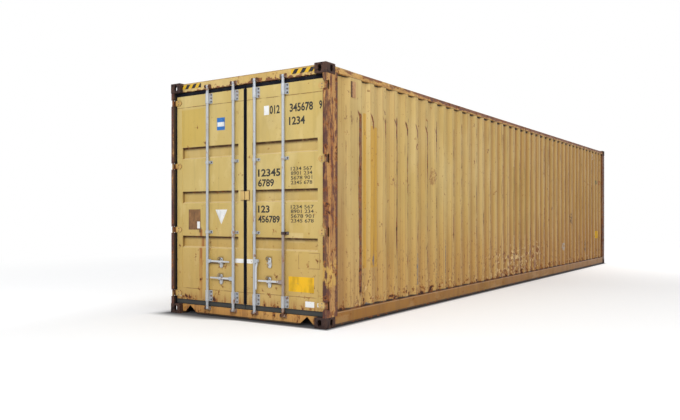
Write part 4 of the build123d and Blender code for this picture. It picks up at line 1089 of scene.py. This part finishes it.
class Finish(Enum):
    """The finishes that pieces and nodes are given, each with its recipe."""

    SIDE_WALL = SideWallPaint(srgb(196, 165, 95), srgb(208, 181, 118), 0.1, 0.2, 2, GREY_INSIDE)
    END_WALL = WornPaint(srgb(190, 150, 84), srgb(208, 176, 116), 0.16, 0.3, 12, GREY_INSIDE, 0)
    ROOF = WornPaint(srgb(176, 142, 86), srgb(196, 170, 122), 0.42, 0.55, 22, GREY_INSIDE, 2)
    RAIL = TopRailPaint(srgb(198, 152, 80), srgb(212, 174, 106), 0.4, 0.34, 32)
    LOW_RAIL = BottomRailPaint(srgb(150, 100, 26), srgb(158, 110, 34), 0.22, 0.32, 34)
    HEADER = HeaderPaint(srgb(204, 170, 100), srgb(214, 186, 122), 0.3, 0.3, 42)
    SILL = SillPaint(srgb(196, 140, 72), srgb(206, 156, 86), 0.34, 0.32, 52)
    POST = PostPaint(srgb(184, 130, 68), srgb(198, 152, 90), 0.4, 0.35, 62)
    LEAF = LeafPaint(srgb(200, 173, 101), srgb(210, 187, 122), 0.1, 0.22, 72, GREY_INSIDE, 0)
    HINGE = HingePaint(srgb(200, 162, 92), srgb(214, 180, 114), 0.44, 0.3, 82)
    CASTING = CastSteel()
    ZINC = Galvanised()
    ZINC_RUSTY = Galvanised(srgb(186, 190, 195), 0.2, 0, True)
    ZINC_BROWN = Galvanised(rust=0.1, brown_below=1.03)
    # A brighter copy of the zinc, for the handles and retainers: painted light that makes up for
    # the little light on their flat faces.
    ZINC_PALE = Galvanised(srgb(208, 211, 214), 0.12)
    KEEPER = Galvanised(srgb(150, 140, 130), 0.62)
    SEAL = SealRubber()
    FLOOR_PLY = FloorPly()
    UNDERFRAME = BitumenCoat()
    VENT_COVER = FadedPlastic()
    HAZARD = HazardFilm()
    WHITE_FILM = SheetVinyl(srgb(238, 238, 236), 0.15)
    BLUE_FILM = SheetVinyl(srgb(34, 112, 188), 0.2)
    YELLOW_FILM = SheetVinyl(srgb(238, 184, 16), 0.1)
    BLACK_PRINT = SheetVinyl(srgb(40, 40, 38), 0.2)
    DATA_PLATE = BrownPlate()
    BOLT = Galvanised(srgb(58, 50, 48), 0.5)

    @lru_cache(maxsize=None)
    def material(self) -> Material:
        """Give the finish's material, written on its first use."""
        return self.value.write(Recipe(self.name.lower()))


def box_between(mesh: Mesh, low: Point, high: Point, ease: float = 0) -> None:
    """Add a box between two corners, its edges eased.

    Args:
        mesh: The mesh to add to.
        low: One corner.
        high: The opposite corner.
        ease: The bevel on its edges, if any.
    """
    made = bmesh.ops.create_cube(mesh, size=1)["verts"]
    first, second = Vector(low), Vector(high)
    bmesh.ops.scale(mesh, vec=[abs(part) for part in second - first], verts=made)
    bmesh.ops.translate(mesh, vec=(first + second) / 2, verts=made)
    if ease > 0:
        edges = list({edge for vert in made for edge in vert.link_edges})
        bmesh.ops.bevel(mesh, geom=edges, offset=ease, offset_type="OFFSET", segments=2,
                        profile=0.5, affect="EDGES", material=-1)


def turned_disc(mesh: Mesh, centre: Point, radius: float, depth: float,
                sides: int, top: float = 1) -> None:
    """Add a disc, a hexagon or a low cone on the X axis.

    Args:
        mesh: The mesh to add to.
        centre: Its middle.
        radius: Its radius at the base.
        depth: Its height along the axis.
        sides: How many sides it has.
        top: Its far radius as a share of the base's.
    """
    place = Matrix.Translation(Vector(centre)) @ Matrix.Rotation(-math.pi / 2, 4, "Y")
    bmesh.ops.create_cone(mesh, cap_ends=True, cap_tris=False, segments=sides, radius1=radius,
                          radius2=radius * top, depth=depth, matrix=place)


def hex_bolt(mesh: Mesh, centre: Point, size: float) -> None:
    """Add a washer and a hexagon head standing outward on the door end.

    Args:
        mesh: The mesh to add to.
        centre: The point on the face.
        size: The head's radius.
    """
    base = Vector(centre)
    for share, wide, tall, sides in ((0.1, 1.35, 0.2, 12), (0.55, 1, 0.7, 6)):
        spot = tuple(base + Vector((-1, 0, 0)) * size * share)
        turned_disc(mesh, spot, size * wide, size * tall, sides)


def ring_about(mesh: Mesh, centre: Point, radius: float, wire: float) -> None:
    """Add a round ring that faces along X, by spinning a circle.

    Args:
        mesh: The mesh to add to.
        centre: The ring's middle.
        radius: The ring's radius.
        wire: The bar's radius.
    """
    axis, out = Vector((1, 0, 0)), Vector((0, 0, 1))
    turn = Matrix((out, axis, axis.cross(out))).transposed().to_4x4()
    place = Matrix.Translation(Vector(centre) + out * radius) @ turn
    circle = bmesh.ops.create_circle(mesh, cap_ends=False, cap_tris=False, segments=10,
                                     radius=wire, matrix=place)["verts"]
    geometry = list(circle) + list({edge for vert in circle for edge in vert.link_edges})
    bmesh.ops.spin(mesh, geom=geometry, cent=Vector(centre), axis=axis, dvec=(0, 0, 0),
                   angle=math.tau, steps=28, use_merge=True)


def push(mesh: Mesh, grown: Dict[str, Any], step: Point) -> None:
    """Move what an extrusion has added.

    Args:
        mesh: The mesh that has grown.
        grown: What the extrusion gave back.
        step: How far it is moved.
    """
    moved = [part for part in grown["geom"] if isinstance(part, bmesh.types.BMVert)]
    bmesh.ops.translate(mesh, vec=step, verts=moved)


@dataclass
class Piece:
    """Anything that scene.py adds: its name, the body it rides on and its finish."""

    name: str
    body: str
    slot: str
    finish: Finish
    soft_shade: bool = False

    def keep(self, mesh: Mesh) -> None:
        """Turn a bmesh, which is freed, into an object that rides on its body.

        Args:
            mesh: The bmesh.
        """
        bmesh.ops.remove_doubles(mesh, verts=mesh.verts, dist=0.00001)
        bmesh.ops.recalc_face_normals(mesh, faces=mesh.faces)
        data = bpy.data.meshes.new(self.name)
        mesh.to_mesh(data)
        mesh.free()
        self.keep_data(data)

    def keep_data(self, data: bpy.types.Mesh) -> None:
        """Turn mesh data into an object that rides on its body.

        Args:
            data: The mesh data.
        """
        for polygon in data.polygons:
            polygon.use_smooth = self.soft_shade
        data.materials.clear()
        data.materials.append(self.finish.material())
        made = bpy.data.objects.new(self.name, data)
        bpy.context.scene.collection.objects.link(made)
        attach(made, self.body)
        LOG.info("%s rides on %s, %d faces", self.name, self.body, len(data.polygons))


@dataclass
class CarriedNodes:
    """The CAD nodes that stay, each given its finish."""

    pairs: Tuple[Tuple[str, Finish], ...] = (
        ("castings", Finish.CASTING), ("door_post", Finish.POST), ("front_post", Finish.POST),
        ("top_rail", Finish.RAIL), ("bottom_rail", Finish.LOW_RAIL),
        ("side_wall", Finish.SIDE_WALL), ("front_wall", Finish.END_WALL), ("roof", Finish.ROOF),
        ("door_header", Finish.HEADER), ("door_sill", Finish.SILL),
        ("front_header", Finish.RAIL), ("front_sill", Finish.HEADER),
        ("gooseneck_tunnel", Finish.UNDERFRAME), ("cross_members", Finish.UNDERFRAME),
        ("floor_boards", Finish.FLOOR_PLY), ("ventilator", Finish.VENT_COVER),
        ("hinge_lugs", Finish.POST), ("cam_keepers", Finish.KEEPER),
        ("door_frame", Finish.LEAF), ("door_panel", Finish.LEAF), ("door_seal", Finish.SEAL),
        ("hinge_blades", Finish.HINGE), ("centre_plate", Finish.HINGE),
        ("rod_brackets", Finish.ZINC_RUSTY), ("handle_retainers", Finish.ZINC_PALE),
        ("lock_rod_4", Finish.ZINC_BROWN), ("lock_rod", Finish.ZINC),
        ("handle", Finish.ZINC_PALE))

    def dress(self) -> None:
        """Give every node the finish of the first name that it starts with."""
        for name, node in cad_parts.items():
            finish = next(chosen for start, chosen in self.pairs if name.startswith(start))
            node.data.materials.clear()
            node.data.materials.append(finish.material())
            for place in node.material_slots:
                place.material = finish.material()
            LOG.info("%s is finished as %s", name, finish.name)


@dataclass
class LeafFace:
    """The doors' outer face, on which films, plates and print lie.

    Attributes:
        frame_in: The frame's face, from the door end.
        panel_in: The pressed panel's face.
        inner: The leaf's edge at the gap.
        stile: The stile's inner edge.
        outer_stile: The outer stile's inner edge.
        rails: The top of the lower rail and the underside of the upper one.
    """

    frame_in: float = 0.056
    panel_in: float = 0.059
    inner: float = 0.016
    stile: float = 0.11
    outer_stile: float = 1.066
    rails: Span = (0.32, 2.59)

    def across(self, seen: float) -> float:
        """Turn a distance from the left edge, as seen by the camera, into a true Y."""
        flat = HALF_WIDTH - seen
        return flat + (flat - CAMERA[1]) * self.frame_in / (DOOR_END - CAMERA[0])

    def up(self, seen: float) -> float:
        """Turn a height as seen by the camera into a true one."""
        return seen + (seen - CAMERA[2]) * self.frame_in / (DOOR_END - CAMERA[0])

    def depth(self, y: float, z: float) -> float:
        """Give the face's depth from the door end at a place."""
        on_panel = self.stile < abs(y) < self.outer_stile and self.rails[0] < z < self.rails[1]
        return self.panel_in if on_panel else self.frame_in

    def cells(self, ys: Span, zs: Span) -> Iterable[Tuple[Span, Span]]:
        """Split a rectangle where the face steps.

        Args:
            ys: Its lowest and highest Y.
            zs: Its lowest and highest Z.

        Returns:
            Each part's Y range and Z range.
        """
        steps = (self.inner, self.stile, self.outer_stile)
        edges = [-step for step in reversed(steps)] + list(steps)
        cuts = [ys[0], *(edge for edge in edges if ys[0] < edge < ys[1]), ys[1]]
        levels = [zs[0], *(edge for edge in self.rails if zs[0] < edge < zs[1]), zs[1]]
        return [(y_part, z_part) for y_part in zip(cuts, cuts[1:])
                if abs(sum(y_part)) / 2 >= self.inner for z_part in zip(levels, levels[1:])]


FACE = LeafFace()


@dataclass
class DoorFilm:
    """One thin film or plate on the doors, given by where the photograph shows it.

    Attributes:
        name: The piece's name.
        finish: Its finish.
        across: Its left and right edge, from the container's left edge.
        levels: Its lowest and highest level.
        thick: Its thickness.
    """

    name: str
    finish: Finish
    across: Span
    levels: Span
    thick: float = 0.0008

    def sides(self) -> Tuple[float, float, float, float]:
        """Give the true left, right, foot and top.

        Returns:
            The four sides.
        """
        left, right = (FACE.across(seen) for seen in self.across)
        foot, top = (FACE.up(seen) for seen in self.levels)
        return left, right, foot, top

    def build(self) -> None:
        """Lay the film on each leaf that it covers."""
        left, right, foot, top = self.sides()
        for body, sign in LEAVES:
            mesh = bmesh.new()
            for ys, zs in FACE.cells((right, left), (foot, top)):
                if sum(ys) * sign > 0:
                    back = DOOR_END + FACE.depth(sum(ys) / 2, sum(zs) / 2)
                    box_between(mesh, (back - self.thick, ys[0], zs[0]), (back, ys[1], zs[1]))
            if mesh.verts:
                name = "%s_%s" % (self.name, body[5:]) if right < 0 < left else self.name
                Piece(name, body, "door_paint", self.finish).keep(mesh)
            else:
                mesh.free()


@dataclass
class Triangle(DoorFilm):
    """The white triangle, point down, on the left leaf."""

    def build(self) -> None:
        """Cut a three-cornered film."""
        left, right, foot, top = self.sides()
        back = DOOR_END + FACE.panel_in
        mesh = bmesh.new()
        mesh.faces.new([mesh.verts.new((back, y, z)) for y, z in
                        ((left, top), (right, top), ((left + right) / 2, foot))])
        push(mesh, bmesh.ops.extrude_face_region(mesh, geom=list(mesh.faces)),
             (-self.thick, 0, 0))
        Piece(self.name, "door_left", "door_paint", self.finish).keep(mesh)


@dataclass
class PrintedRow(DoorFilm):
    """A row of plain numerals on the right leaf.

    Attributes:
        words: The numerals, in counting order.
        bold: How much the strokes are thickened, as a share of the letter size.
    """

    thick: float = 0.0004
    words: str = ""
    bold: float = 0.03

    def build(self) -> None:
        """Set the numerals, make them a mesh and lay it on the leaf."""
        letters = bpy.data.curves.new(self.name, "FONT")
        letters.body = self.words
        letters.resolution_u = 3
        letters.offset = self.bold
        letters.extrude = 0.5
        holder = bpy.data.objects.new(self.name + "_type", letters)
        data = bpy.data.meshes.new_from_object(holder)
        bpy.data.objects.remove(holder)
        bpy.data.curves.remove(letters)
        spots = [vert.co for vert in data.vertices]
        low = [min(spot[axis] for spot in spots) for axis in range(3)]
        high = [max(spot[axis] for spot in spots) for axis in range(3)]
        left, right, foot, top = self.sides()
        wide = (left - right) / (high[0] - low[0])
        tall = (top - foot) / (high[1] - low[1])
        thin = self.thick / (high[2] - low[2])
        back = DOOR_END + FACE.depth((left + right) / 2, (foot + top) / 2)
        data.transform(Matrix((
            (0, 0, -thin, back + thin * low[2]), (-wide, 0, 0, left + wide * low[0]),
            (0, tall, 0, foot - tall * low[1]), (0, 0, 0, 1))))
        Piece(self.name, "door_right", "door_paint", self.finish).keep_data(data)


def row(name: str, words: str, across: Span, levels: Span, bold: float = 0.03) -> PrintedRow:
    """Describe a row of black numerals.

    Args:
        name: The piece's name after "row_".
        words: The numerals.
        across: Its left and right edge, from the container's left edge.
        levels: Its lowest and highest level.
        bold: How much the strokes are thickened.

    Returns:
        The row.
    """
    return PrintedRow("row_" + name, Finish.BLACK_PRINT, across, levels, words=words, bold=bold)


def small_rows(group: str, right: float, foot: float) -> Iterable[PrintedRow]:
    """Describe four rows of small numerals, one under the other.

    Args:
        group: The first letter of their names.
        right: Their right edge, from the container's left edge.
        foot: The lowest row's lowest level.

    Returns:
        The rows, from the top.
    """
    for number, words, rise in ((3, "1234 567", 0.154), (4, "8901 234", 0.104),
                                (5, "5678 901", 0.052), (6, "2345 678", 0.0)):
        levels = (foot + rise, foot + rise + 0.041)
        yield row(group + str(number), words, (1.95, right), levels, 0.01)


@dataclass
class DoorDress:
    """Everything stuck, printed or riveted on the doors.

    Attributes:
        films: The films and plates.
        rows: The rows of numerals.
        rivets_at: The rivets' places across, as seen, and their levels.
        rivet: A rivet's radius and height.
    """

    films: Tuple[DoorFilm, ...] = (
        DoorFilm("blue_film", Finish.BLUE_FILM, (0.81, 0.94), (2.256, 2.406)),
        DoorFilm("blue_film_band", Finish.WHITE_FILM, (0.818, 0.932), (2.3, 2.352), 0.0012),
        DoorFilm("yellow_patch_low", Finish.YELLOW_FILM, (1.92, 2.274), (0.382, 0.55)),
        DoorFilm("data_plate", Finish.DATA_PLATE, (0.324, 0.53), (1.056, 1.306), 0.002),
        DoorFilm("data_plate_label", Finish.WHITE_FILM, (0.474, 0.522), (1.072, 1.156), 0.0026),
        DoorFilm("centre_tape", Finish.WHITE_FILM, (1.11, 1.4), (0.672, 0.722)),
        DoorFilm("foot_tape_right", Finish.WHITE_FILM, (2.156, 2.28), (0.222, 0.286)),
        DoorFilm("foot_tape_outer", Finish.WHITE_FILM, (2.32, 2.372), (0.234, 0.276)),
        DoorFilm("foot_tape_left", Finish.WHITE_FILM, (0.078, 0.194), (0.222, 0.276)),
        DoorFilm("upper_film", Finish.WHITE_FILM, (1.556, 1.63), (2.38, 2.486)),
        Triangle("triangle_film", Finish.WHITE_FILM, (0.784, 0.98), (1.126, 1.302)))
    rows: Tuple[PrintedRow, ...] = (
        row("a1", "012", (1.64, 1.79), (2.384, 2.482)),
        row("a2", "345678", (1.934, 2.26), (2.384, 2.482)),
        row("a3", "9", (2.346, 2.388), (2.386, 2.48)),
        row("b", "1234", (1.924, 2.15), (2.24, 2.332)),
        row("c1", "12345", (1.466, 1.8), (1.676, 1.764)),
        row("c2", "6789", (1.466, 1.706), (1.56, 1.648)),
        *small_rows("c", 2.25, 1.577),
        row("d1", "123", (1.466, 1.64), (1.262, 1.346)),
        row("d2", "456789", (1.466, 1.79), (1.146, 1.23)),
        *small_rows("d", 2.27, 1.152))
    rivets_at: Tuple[Span, Span] = ((0.336, 0.518), (1.068, 1.294))
    rivet: Span = (0.005, 0.002)

    def build(self) -> None:
        """Build every film and row, and rivet the data plate's corners."""
        for film in self.films + self.rows:
            film.build()
        mesh = bmesh.new()
        radius, height = self.rivet
        middle = DOOR_END + FACE.panel_in - 0.003
        for seen in self.rivets_at[0]:
            for level in self.rivets_at[1]:
                spot = (middle, FACE.across(seen), FACE.up(level))
                turned_disc(mesh, spot, radius, height, 12, 0.6)
        Piece("data_plate_rivets", "door_left", "door_paint", Finish.BOLT).keep(mesh)


@dataclass
class SealLips:
    """The rubber lips that close the gap between the leaves.

    Attributes:
        reach: Where a lip starts and ends, from the gap's middle.
        thick: A lip's thickness.
        short: How far it stops short of the leaf's ends.
        ease: The bevel on its edges.
    """

    reach: Span = (0.007, 0.025)
    thick: float = 0.0025
    short: float = 0.004
    ease: float = 0.0008

    def build(self) -> None:
        """Lay a lip along each leaf's inner edge."""
        back = DOOR_END + FACE.frame_in
        for body, sign in LEAVES:
            low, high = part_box("door_frame_" + body[5:])
            mesh = bmesh.new()
            box_between(mesh, (back - self.thick, sign * self.reach[0], low[2] + self.short),
                        (back, sign * self.reach[1], high[2] - self.short), self.ease)
            Piece("seal_lip_" + body[5:], body, "seal_rubber", Finish.SEAL).keep(mesh)


@dataclass
class HeaderStripes:
    """The hazard films on the beam over the doors.

    Attributes:
        face_in: The beam's face, from the door end.
        thick: The films' thickness.
        levels: Their lowest and highest level.
        spans: Each film's left and right edge, as the camera sees them.
    """

    face_in: float = 0.054
    thick: float = 0.001
    levels: Span = (2.82, 2.872)
    spans: Tuple[Span, ...] = ((0.2, 0.544), (1.956, 2.28))

    def build(self) -> None:
        """Lay both films."""
        mesh = bmesh.new()
        back = DOOR_END + self.face_in
        for start, end in self.spans:
            box_between(mesh, (back - self.thick, FACE.across(start), self.levels[0]),
                        (back, FACE.across(end), self.levels[1]))
        Piece("hazard_films", "container", "body_paint", Finish.HAZARD).keep(mesh)


@dataclass
class LockGear:
    """The lock gear's bolts, guide ears and catch rings.

    Attributes:
        rods: The rods' Y.
        ear: How far a bracket's bolt stands to the right of its rod.
        far_ear: How far a guide's small bolt stands to its left.
        bracket_in: The brackets' face, from the door end.
        guide_in: The guides' face.
        sizes: The radii of bracket bolts, small and large guide bolts.
        levels: The bolt levels in the brackets.
        guides: The guides' levels.
        ear_at: A guide ear's start and end to the right of the rod, half height and thickness.
        handles: Each handle's side of its rod, and its retainer's level.
        reach: How far a retainer is from its rod.
        ring: A catch ring's radius and its bar's.
        ring_at: Its middle's depth, and how far it is left of and above the handle's line.
        pin: Its pin's radius and length.
        pin_at: Its pin's place, in the same way.
    """

    rods: Row = (0.598, 0.168, -0.168, -0.598)
    ear: float = 0.046
    far_ear: float = 0.0275
    bracket_in: float = 0.048
    guide_in: float = 0.051
    sizes: Point = (0.009, 0.0035, 0.0085)
    levels: Row = (0.205, 0.251, 0.297, 2.621, 2.663, 2.705)
    guides: Row = (1.03, 1.88)
    ear_at: Row = (0.031, 0.062, 0.018, 0.008)
    handles: Rows = ((-1, 0.676), (1, 0.476), (-1, 0.702), (1, 0.476))
    reach: float = 0.216
    ring: Span = (0.018, 0.0035)
    ring_at: Point = (0.039, 0.032, 0.03)
    pin: Span = (0.006, 0.008)
    pin_at: Point = (0.041, 0.014, 0.034)

    def bolts(self, mesh: Mesh, rod: float) -> None:
        """Bolt the brackets and guides of one rod.

        Args:
            mesh: The mesh they are added to.
            rod: Where the rod stands across the end.
        """
        face, guide_face = DOOR_END + self.bracket_in, DOOR_END + self.guide_in
        for level in self.levels:
            hex_bolt(mesh, (face, rod - self.ear, level), self.sizes[0])
        for level in self.guides:
            hex_bolt(mesh, (guide_face, rod + self.far_ear, level), self.sizes[1])
            hex_bolt(mesh, (guide_face, rod - self.ear, level), self.sizes[2])

    def ears(self, mesh: Mesh, rod: float) -> None:
        """Give the guides of one rod their bolted ears.

        Args:
            mesh: The mesh they are added to.
            rod: Where the rod stands across the end.
        """
        start, end, half, thick = self.ear_at
        front = DOOR_END + self.guide_in
        for level in self.guides:
            box_between(mesh, (front, rod - start, level - half),
                        (front + thick, rod - end, level + half), 0.002)

    def catch(self, mesh: Mesh, rod: float) -> None:
        """Hang a swung-open catch ring on the retainer of one rod's handle.

        Args:
            mesh: The mesh it is added to.
            rod: Where the rod stands across the end.
        """
        direction, level = self.handles[self.rods.index(rod)]
        line = (DOOR_END, rod + direction * self.reach, level)
        spot, pin_spot = (tuple(map(sum, zip(line, step))) for step in (self.ring_at, self.pin_at))
        ring_about(mesh, spot, *self.ring)
        turned_disc(mesh, pin_spot, *self.pin, 10)

    def build(self) -> None:
        """Build the bolts, ears and rings of both leaves."""
        fixed = (("bracket_bolts_", Finish.BOLT, False, self.bolts),
                 ("guide_ears_", Finish.ZINC_RUSTY, False, self.ears))
        hung = (("catch_rings_", Finish.BOLT, True, self.catch),)
        for kinds, (body, sign) in product((fixed, hung), LEAVES):
            for start, finish, soft_shade, add in kinds:
                mesh = bmesh.new()
                for rod in self.rods:
                    if rod * sign > 0:
                        add(mesh, rod)
                Piece(start + body[5:], body, "galvanised_steel", finish, soft_shade).keep(mesh)


@dataclass
class HingeBolts:
    """The countersunk bolts through the hinge straps.

    Attributes:
        levels: The hinges' levels.
        across: The bolts' distance from the middle.
        rise: Their distance above and below the hinge's level.
        face_in: The straps' face, from the door end.
        size: A head's radius and height.
    """

    levels: Row = (0.25, 1.0507, 1.8513, 2.652)
    across: float = 1.128
    rise: float = 0.018
    face_in: float = 0.048
    size: Span = (0.0075, 0.0016)

    def build(self) -> None:
        """Set two bolts in each strap."""
        radius, height = self.size
        for body, sign in LEAVES:
            mesh = bmesh.new()
            for level in self.levels:
                for rise in (self.rise, -self.rise):
                    centre = (DOOR_END + self.face_in - height / 2, sign * self.across,
                              level + rise)
                    turned_disc(mesh, centre, radius, height, 14, 0.8)
            Piece("hinge_bolts_" + body[5:], body, "door_paint", Finish.BOLT).keep(mesh)


@dataclass
class SideFilm:
    """The yellow film near the closed end of the right wall, laid over the ridges.

    Attributes:
        span: Its start and end, from the door end.
        levels: Its lowest and highest level.
        ridge_end: A ridge's far edge near it.
        profile: The wall's depth at steps along one pitch from a ridge's far edge.
        thick: The film's thickness.
    """

    span: Span = (11.31, 11.66)
    levels: Span = (0.668, 0.846)
    ridge_end: float = 11.27
    profile: Tuple[Span, ...] = (
        (0.0, 0.008), (0.068, 0.044), (0.138, 0.044), (0.206, 0.008), (WALL_PITCH, 0.008))
    thick: float = 0.001

    def depth(self, along: float) -> float:
        """Give the wall's depth at a distance from the door end.

        Args:
            along: The distance from the door end.

        Returns:
            The depth.
        """
        step = (along - self.ridge_end) % WALL_PITCH
        for (start, first), (end, last) in zip(self.profile, self.profile[1:]):
            if step <= end:
                return first + (last - first) * (step - start) / (end - start)
        return self.profile[-1][1]

    def build(self) -> None:
        """Lay the film as one bent sheet."""
        bends = [self.ridge_end + turn * WALL_PITCH + step
                 for turn in range(3) for step, _ in self.profile[:-1]]
        low, high = self.span
        stops = [low, *(bend for bend in bends if low < bend < high), high]
        mesh = bmesh.new()
        foot = [mesh.verts.new((DOOR_END + stop, self.depth(stop) - HALF_WIDTH, self.levels[0]))
                for stop in stops]
        edges = [mesh.edges.new(pair) for pair in zip(foot, foot[1:])]
        push(mesh, bmesh.ops.extrude_edge_only(mesh, edges=edges),
             (0, 0, self.levels[1] - self.levels[0]))
        push(mesh, bmesh.ops.extrude_face_region(mesh, geom=list(mesh.faces)),
             (0, -self.thick, 0))
        Piece("side_film", "container", "body_paint", Finish.YELLOW_FILM).keep(mesh)


@dataclass
class Studio:
    """The floor, the soft light and the camera.

    Attributes:
        heading: The way the camera looks, in degrees from +X towards +Y.
        lens: Its focal length on a 36 mm film.
        shift: How far the picture is shifted.
        sky: The soft light's colour and strength.
        lamps: Each soft box's name, place, target, width and height, and power in watts.
    """

    heading: float = 32.47
    lens: float = 35.97
    shift: Span = (-0.0444, 0.0085)
    sky: Tuple[Colour, float] = ((0.96, 0.98, 1.0, 1.0), 0.47)
    lamps: Tuple[Tuple[str, Point, Point, Span, float], ...] = (
        ("key", (-16, -5, 9), (-4.5, 0, 1.2), (9, 6), 1050),
        ("fill", (-5, -14, 8), (-1, 0, 1.2), (15, 7), 520),
        ("top", (0, 0, 12), (0, 0, 0), (18, 10), 150))

    def stand(self, name: str, data: Any) -> bpy.types.Object:
        """Put an object of the studio into the scene.

        Args:
            name: The object's name.
            data: What it shows.

        Returns:
            The object.
        """
        made = bpy.data.objects.new(name, data)
        bpy.context.scene.collection.objects.link(made)
        return made

    def floor(self) -> None:
        """Lay a pale floor with a painted shadow round the container's foot and a painted glow
        behind and beside it, which turns to plain white far away.
        """
        mesh = bmesh.new()
        bmesh.ops.create_grid(mesh, x_segments=1, y_segments=1, size=90)
        data = bpy.data.meshes.new("floor")
        mesh.to_mesh(data)
        mesh.free()
        made = self.stand("floor", data)
        r = Recipe("floor_pale")
        oval = r.node("ShaderNodeVectorMath", {0: r.place, 1: (0.62, 1, 0)},
                      operation="MULTIPLY")
        away = r.node("ShaderNodeVectorMath", {0: oval}, "Value", operation="LENGTH")
        seen = r.seen_directly()
        # Camera rays only: the floor glows to read white; the glow is stronger behind and to the
        # left of the container, painted light over the lamps' falloff and the container's shadow.
        behind = r.most(r.smooth(0, 7, r.x), r.smooth(1.3, 3.2, r.y) * 0.45)
        bright = r.blend(behind, (0.2, 0.2, 0.205, 1), (0.62, 0.62, 0.62, 1))
        # Painted shadow round the container's foot, reaching further on its left.
        past_end = abs(r.x) + DOOR_END
        past_side = abs(r.y) - HALF_WIDTH
        reach = 0.1 + 0.22 * r.smooth(0, 0.6, r.y)
        near = (r.smooth(1, 0, r.most(past_end, past_side) / reach)
                * (0.95 - 0.45 * r.smooth(0, 0.16, past_side)))
        tone = r.blend(near, (0.87, 0.87, 0.87, 1), (0.05, 0.05, 0.055, 1))
        lift = r.blend(near, r.blend(seen, BLACK, bright), BLACK)
        pale = r.node("ShaderNodeBsdfPrincipled", {
            "Base Color": tone, "Roughness": 0.9, "Specular IOR Level": 0.2,
            "Emission Color": lift, "Emission Strength": 1})
        white = r.node("ShaderNodeEmission", {"Color": WHITE, "Strength": 1})
        share = r.smooth(5.2, 13, away) * seen
        data.materials.append(r.close(
            r.node("ShaderNodeMixShader", {0: share, 1: pale, 2: white})))

    def light(self) -> None:
        """Light everything softly, show plain white behind it and hang the soft boxes."""
        tree = Tree(bpy.data.worlds.new("studio"))
        soft = tree.node("ShaderNodeBackground", {"Color": self.sky[0], "Strength": self.sky[1]})
        white = tree.node("ShaderNodeBackground", {"Color": WHITE, "Strength": 1})
        bpy.context.scene.world = tree.close(tree.node(
            "ShaderNodeMixShader", {0: tree.seen_directly(), 1: soft, 2: white}))
        for name, spot, target, size, power in self.lamps:
            light = bpy.data.lights.new(name, "AREA")
            light.shape = "RECTANGLE"
            light.size, light.size_y = size
            light.energy = power
            made = self.stand(name, light)
            made.location = spot
            aim = Vector(target) - Vector(spot)
            made.rotation_euler = aim.to_track_quat("-Z", "Y").to_euler()

    def camera(self) -> None:
        """Stand the camera where the photograph was taken from."""
        lens = bpy.data.cameras.new("camera")
        lens.lens = self.lens
        lens.sensor_width = 36
        lens.shift_x, lens.shift_y = self.shift
        lens.clip_end = 400
        made = self.stand("camera", lens)
        made.location = CAMERA
        made.rotation_euler = (math.pi / 2, 0, math.radians(self.heading - 90))
        bpy.context.scene.camera = made

    def build(self) -> None:
        """Set up the floor, the light and the camera."""
        self.floor()
        self.light()
        bpy.context.scene.view_settings.view_transform = "Standard"
        self.camera()


def main() -> None:
    """Dress the frame, add the pieces and set up the studio."""
    logging.basicConfig(level=logging.INFO, format="%(name)s: %(message)s")
    CarriedNodes().dress()
    for part in (DoorDress(), SealLips(), HeaderStripes(), LockGear(), HingeBolts(), SideFilm(),
                 Studio()):
        part.build()


if __name__ == "__main__":
    main()
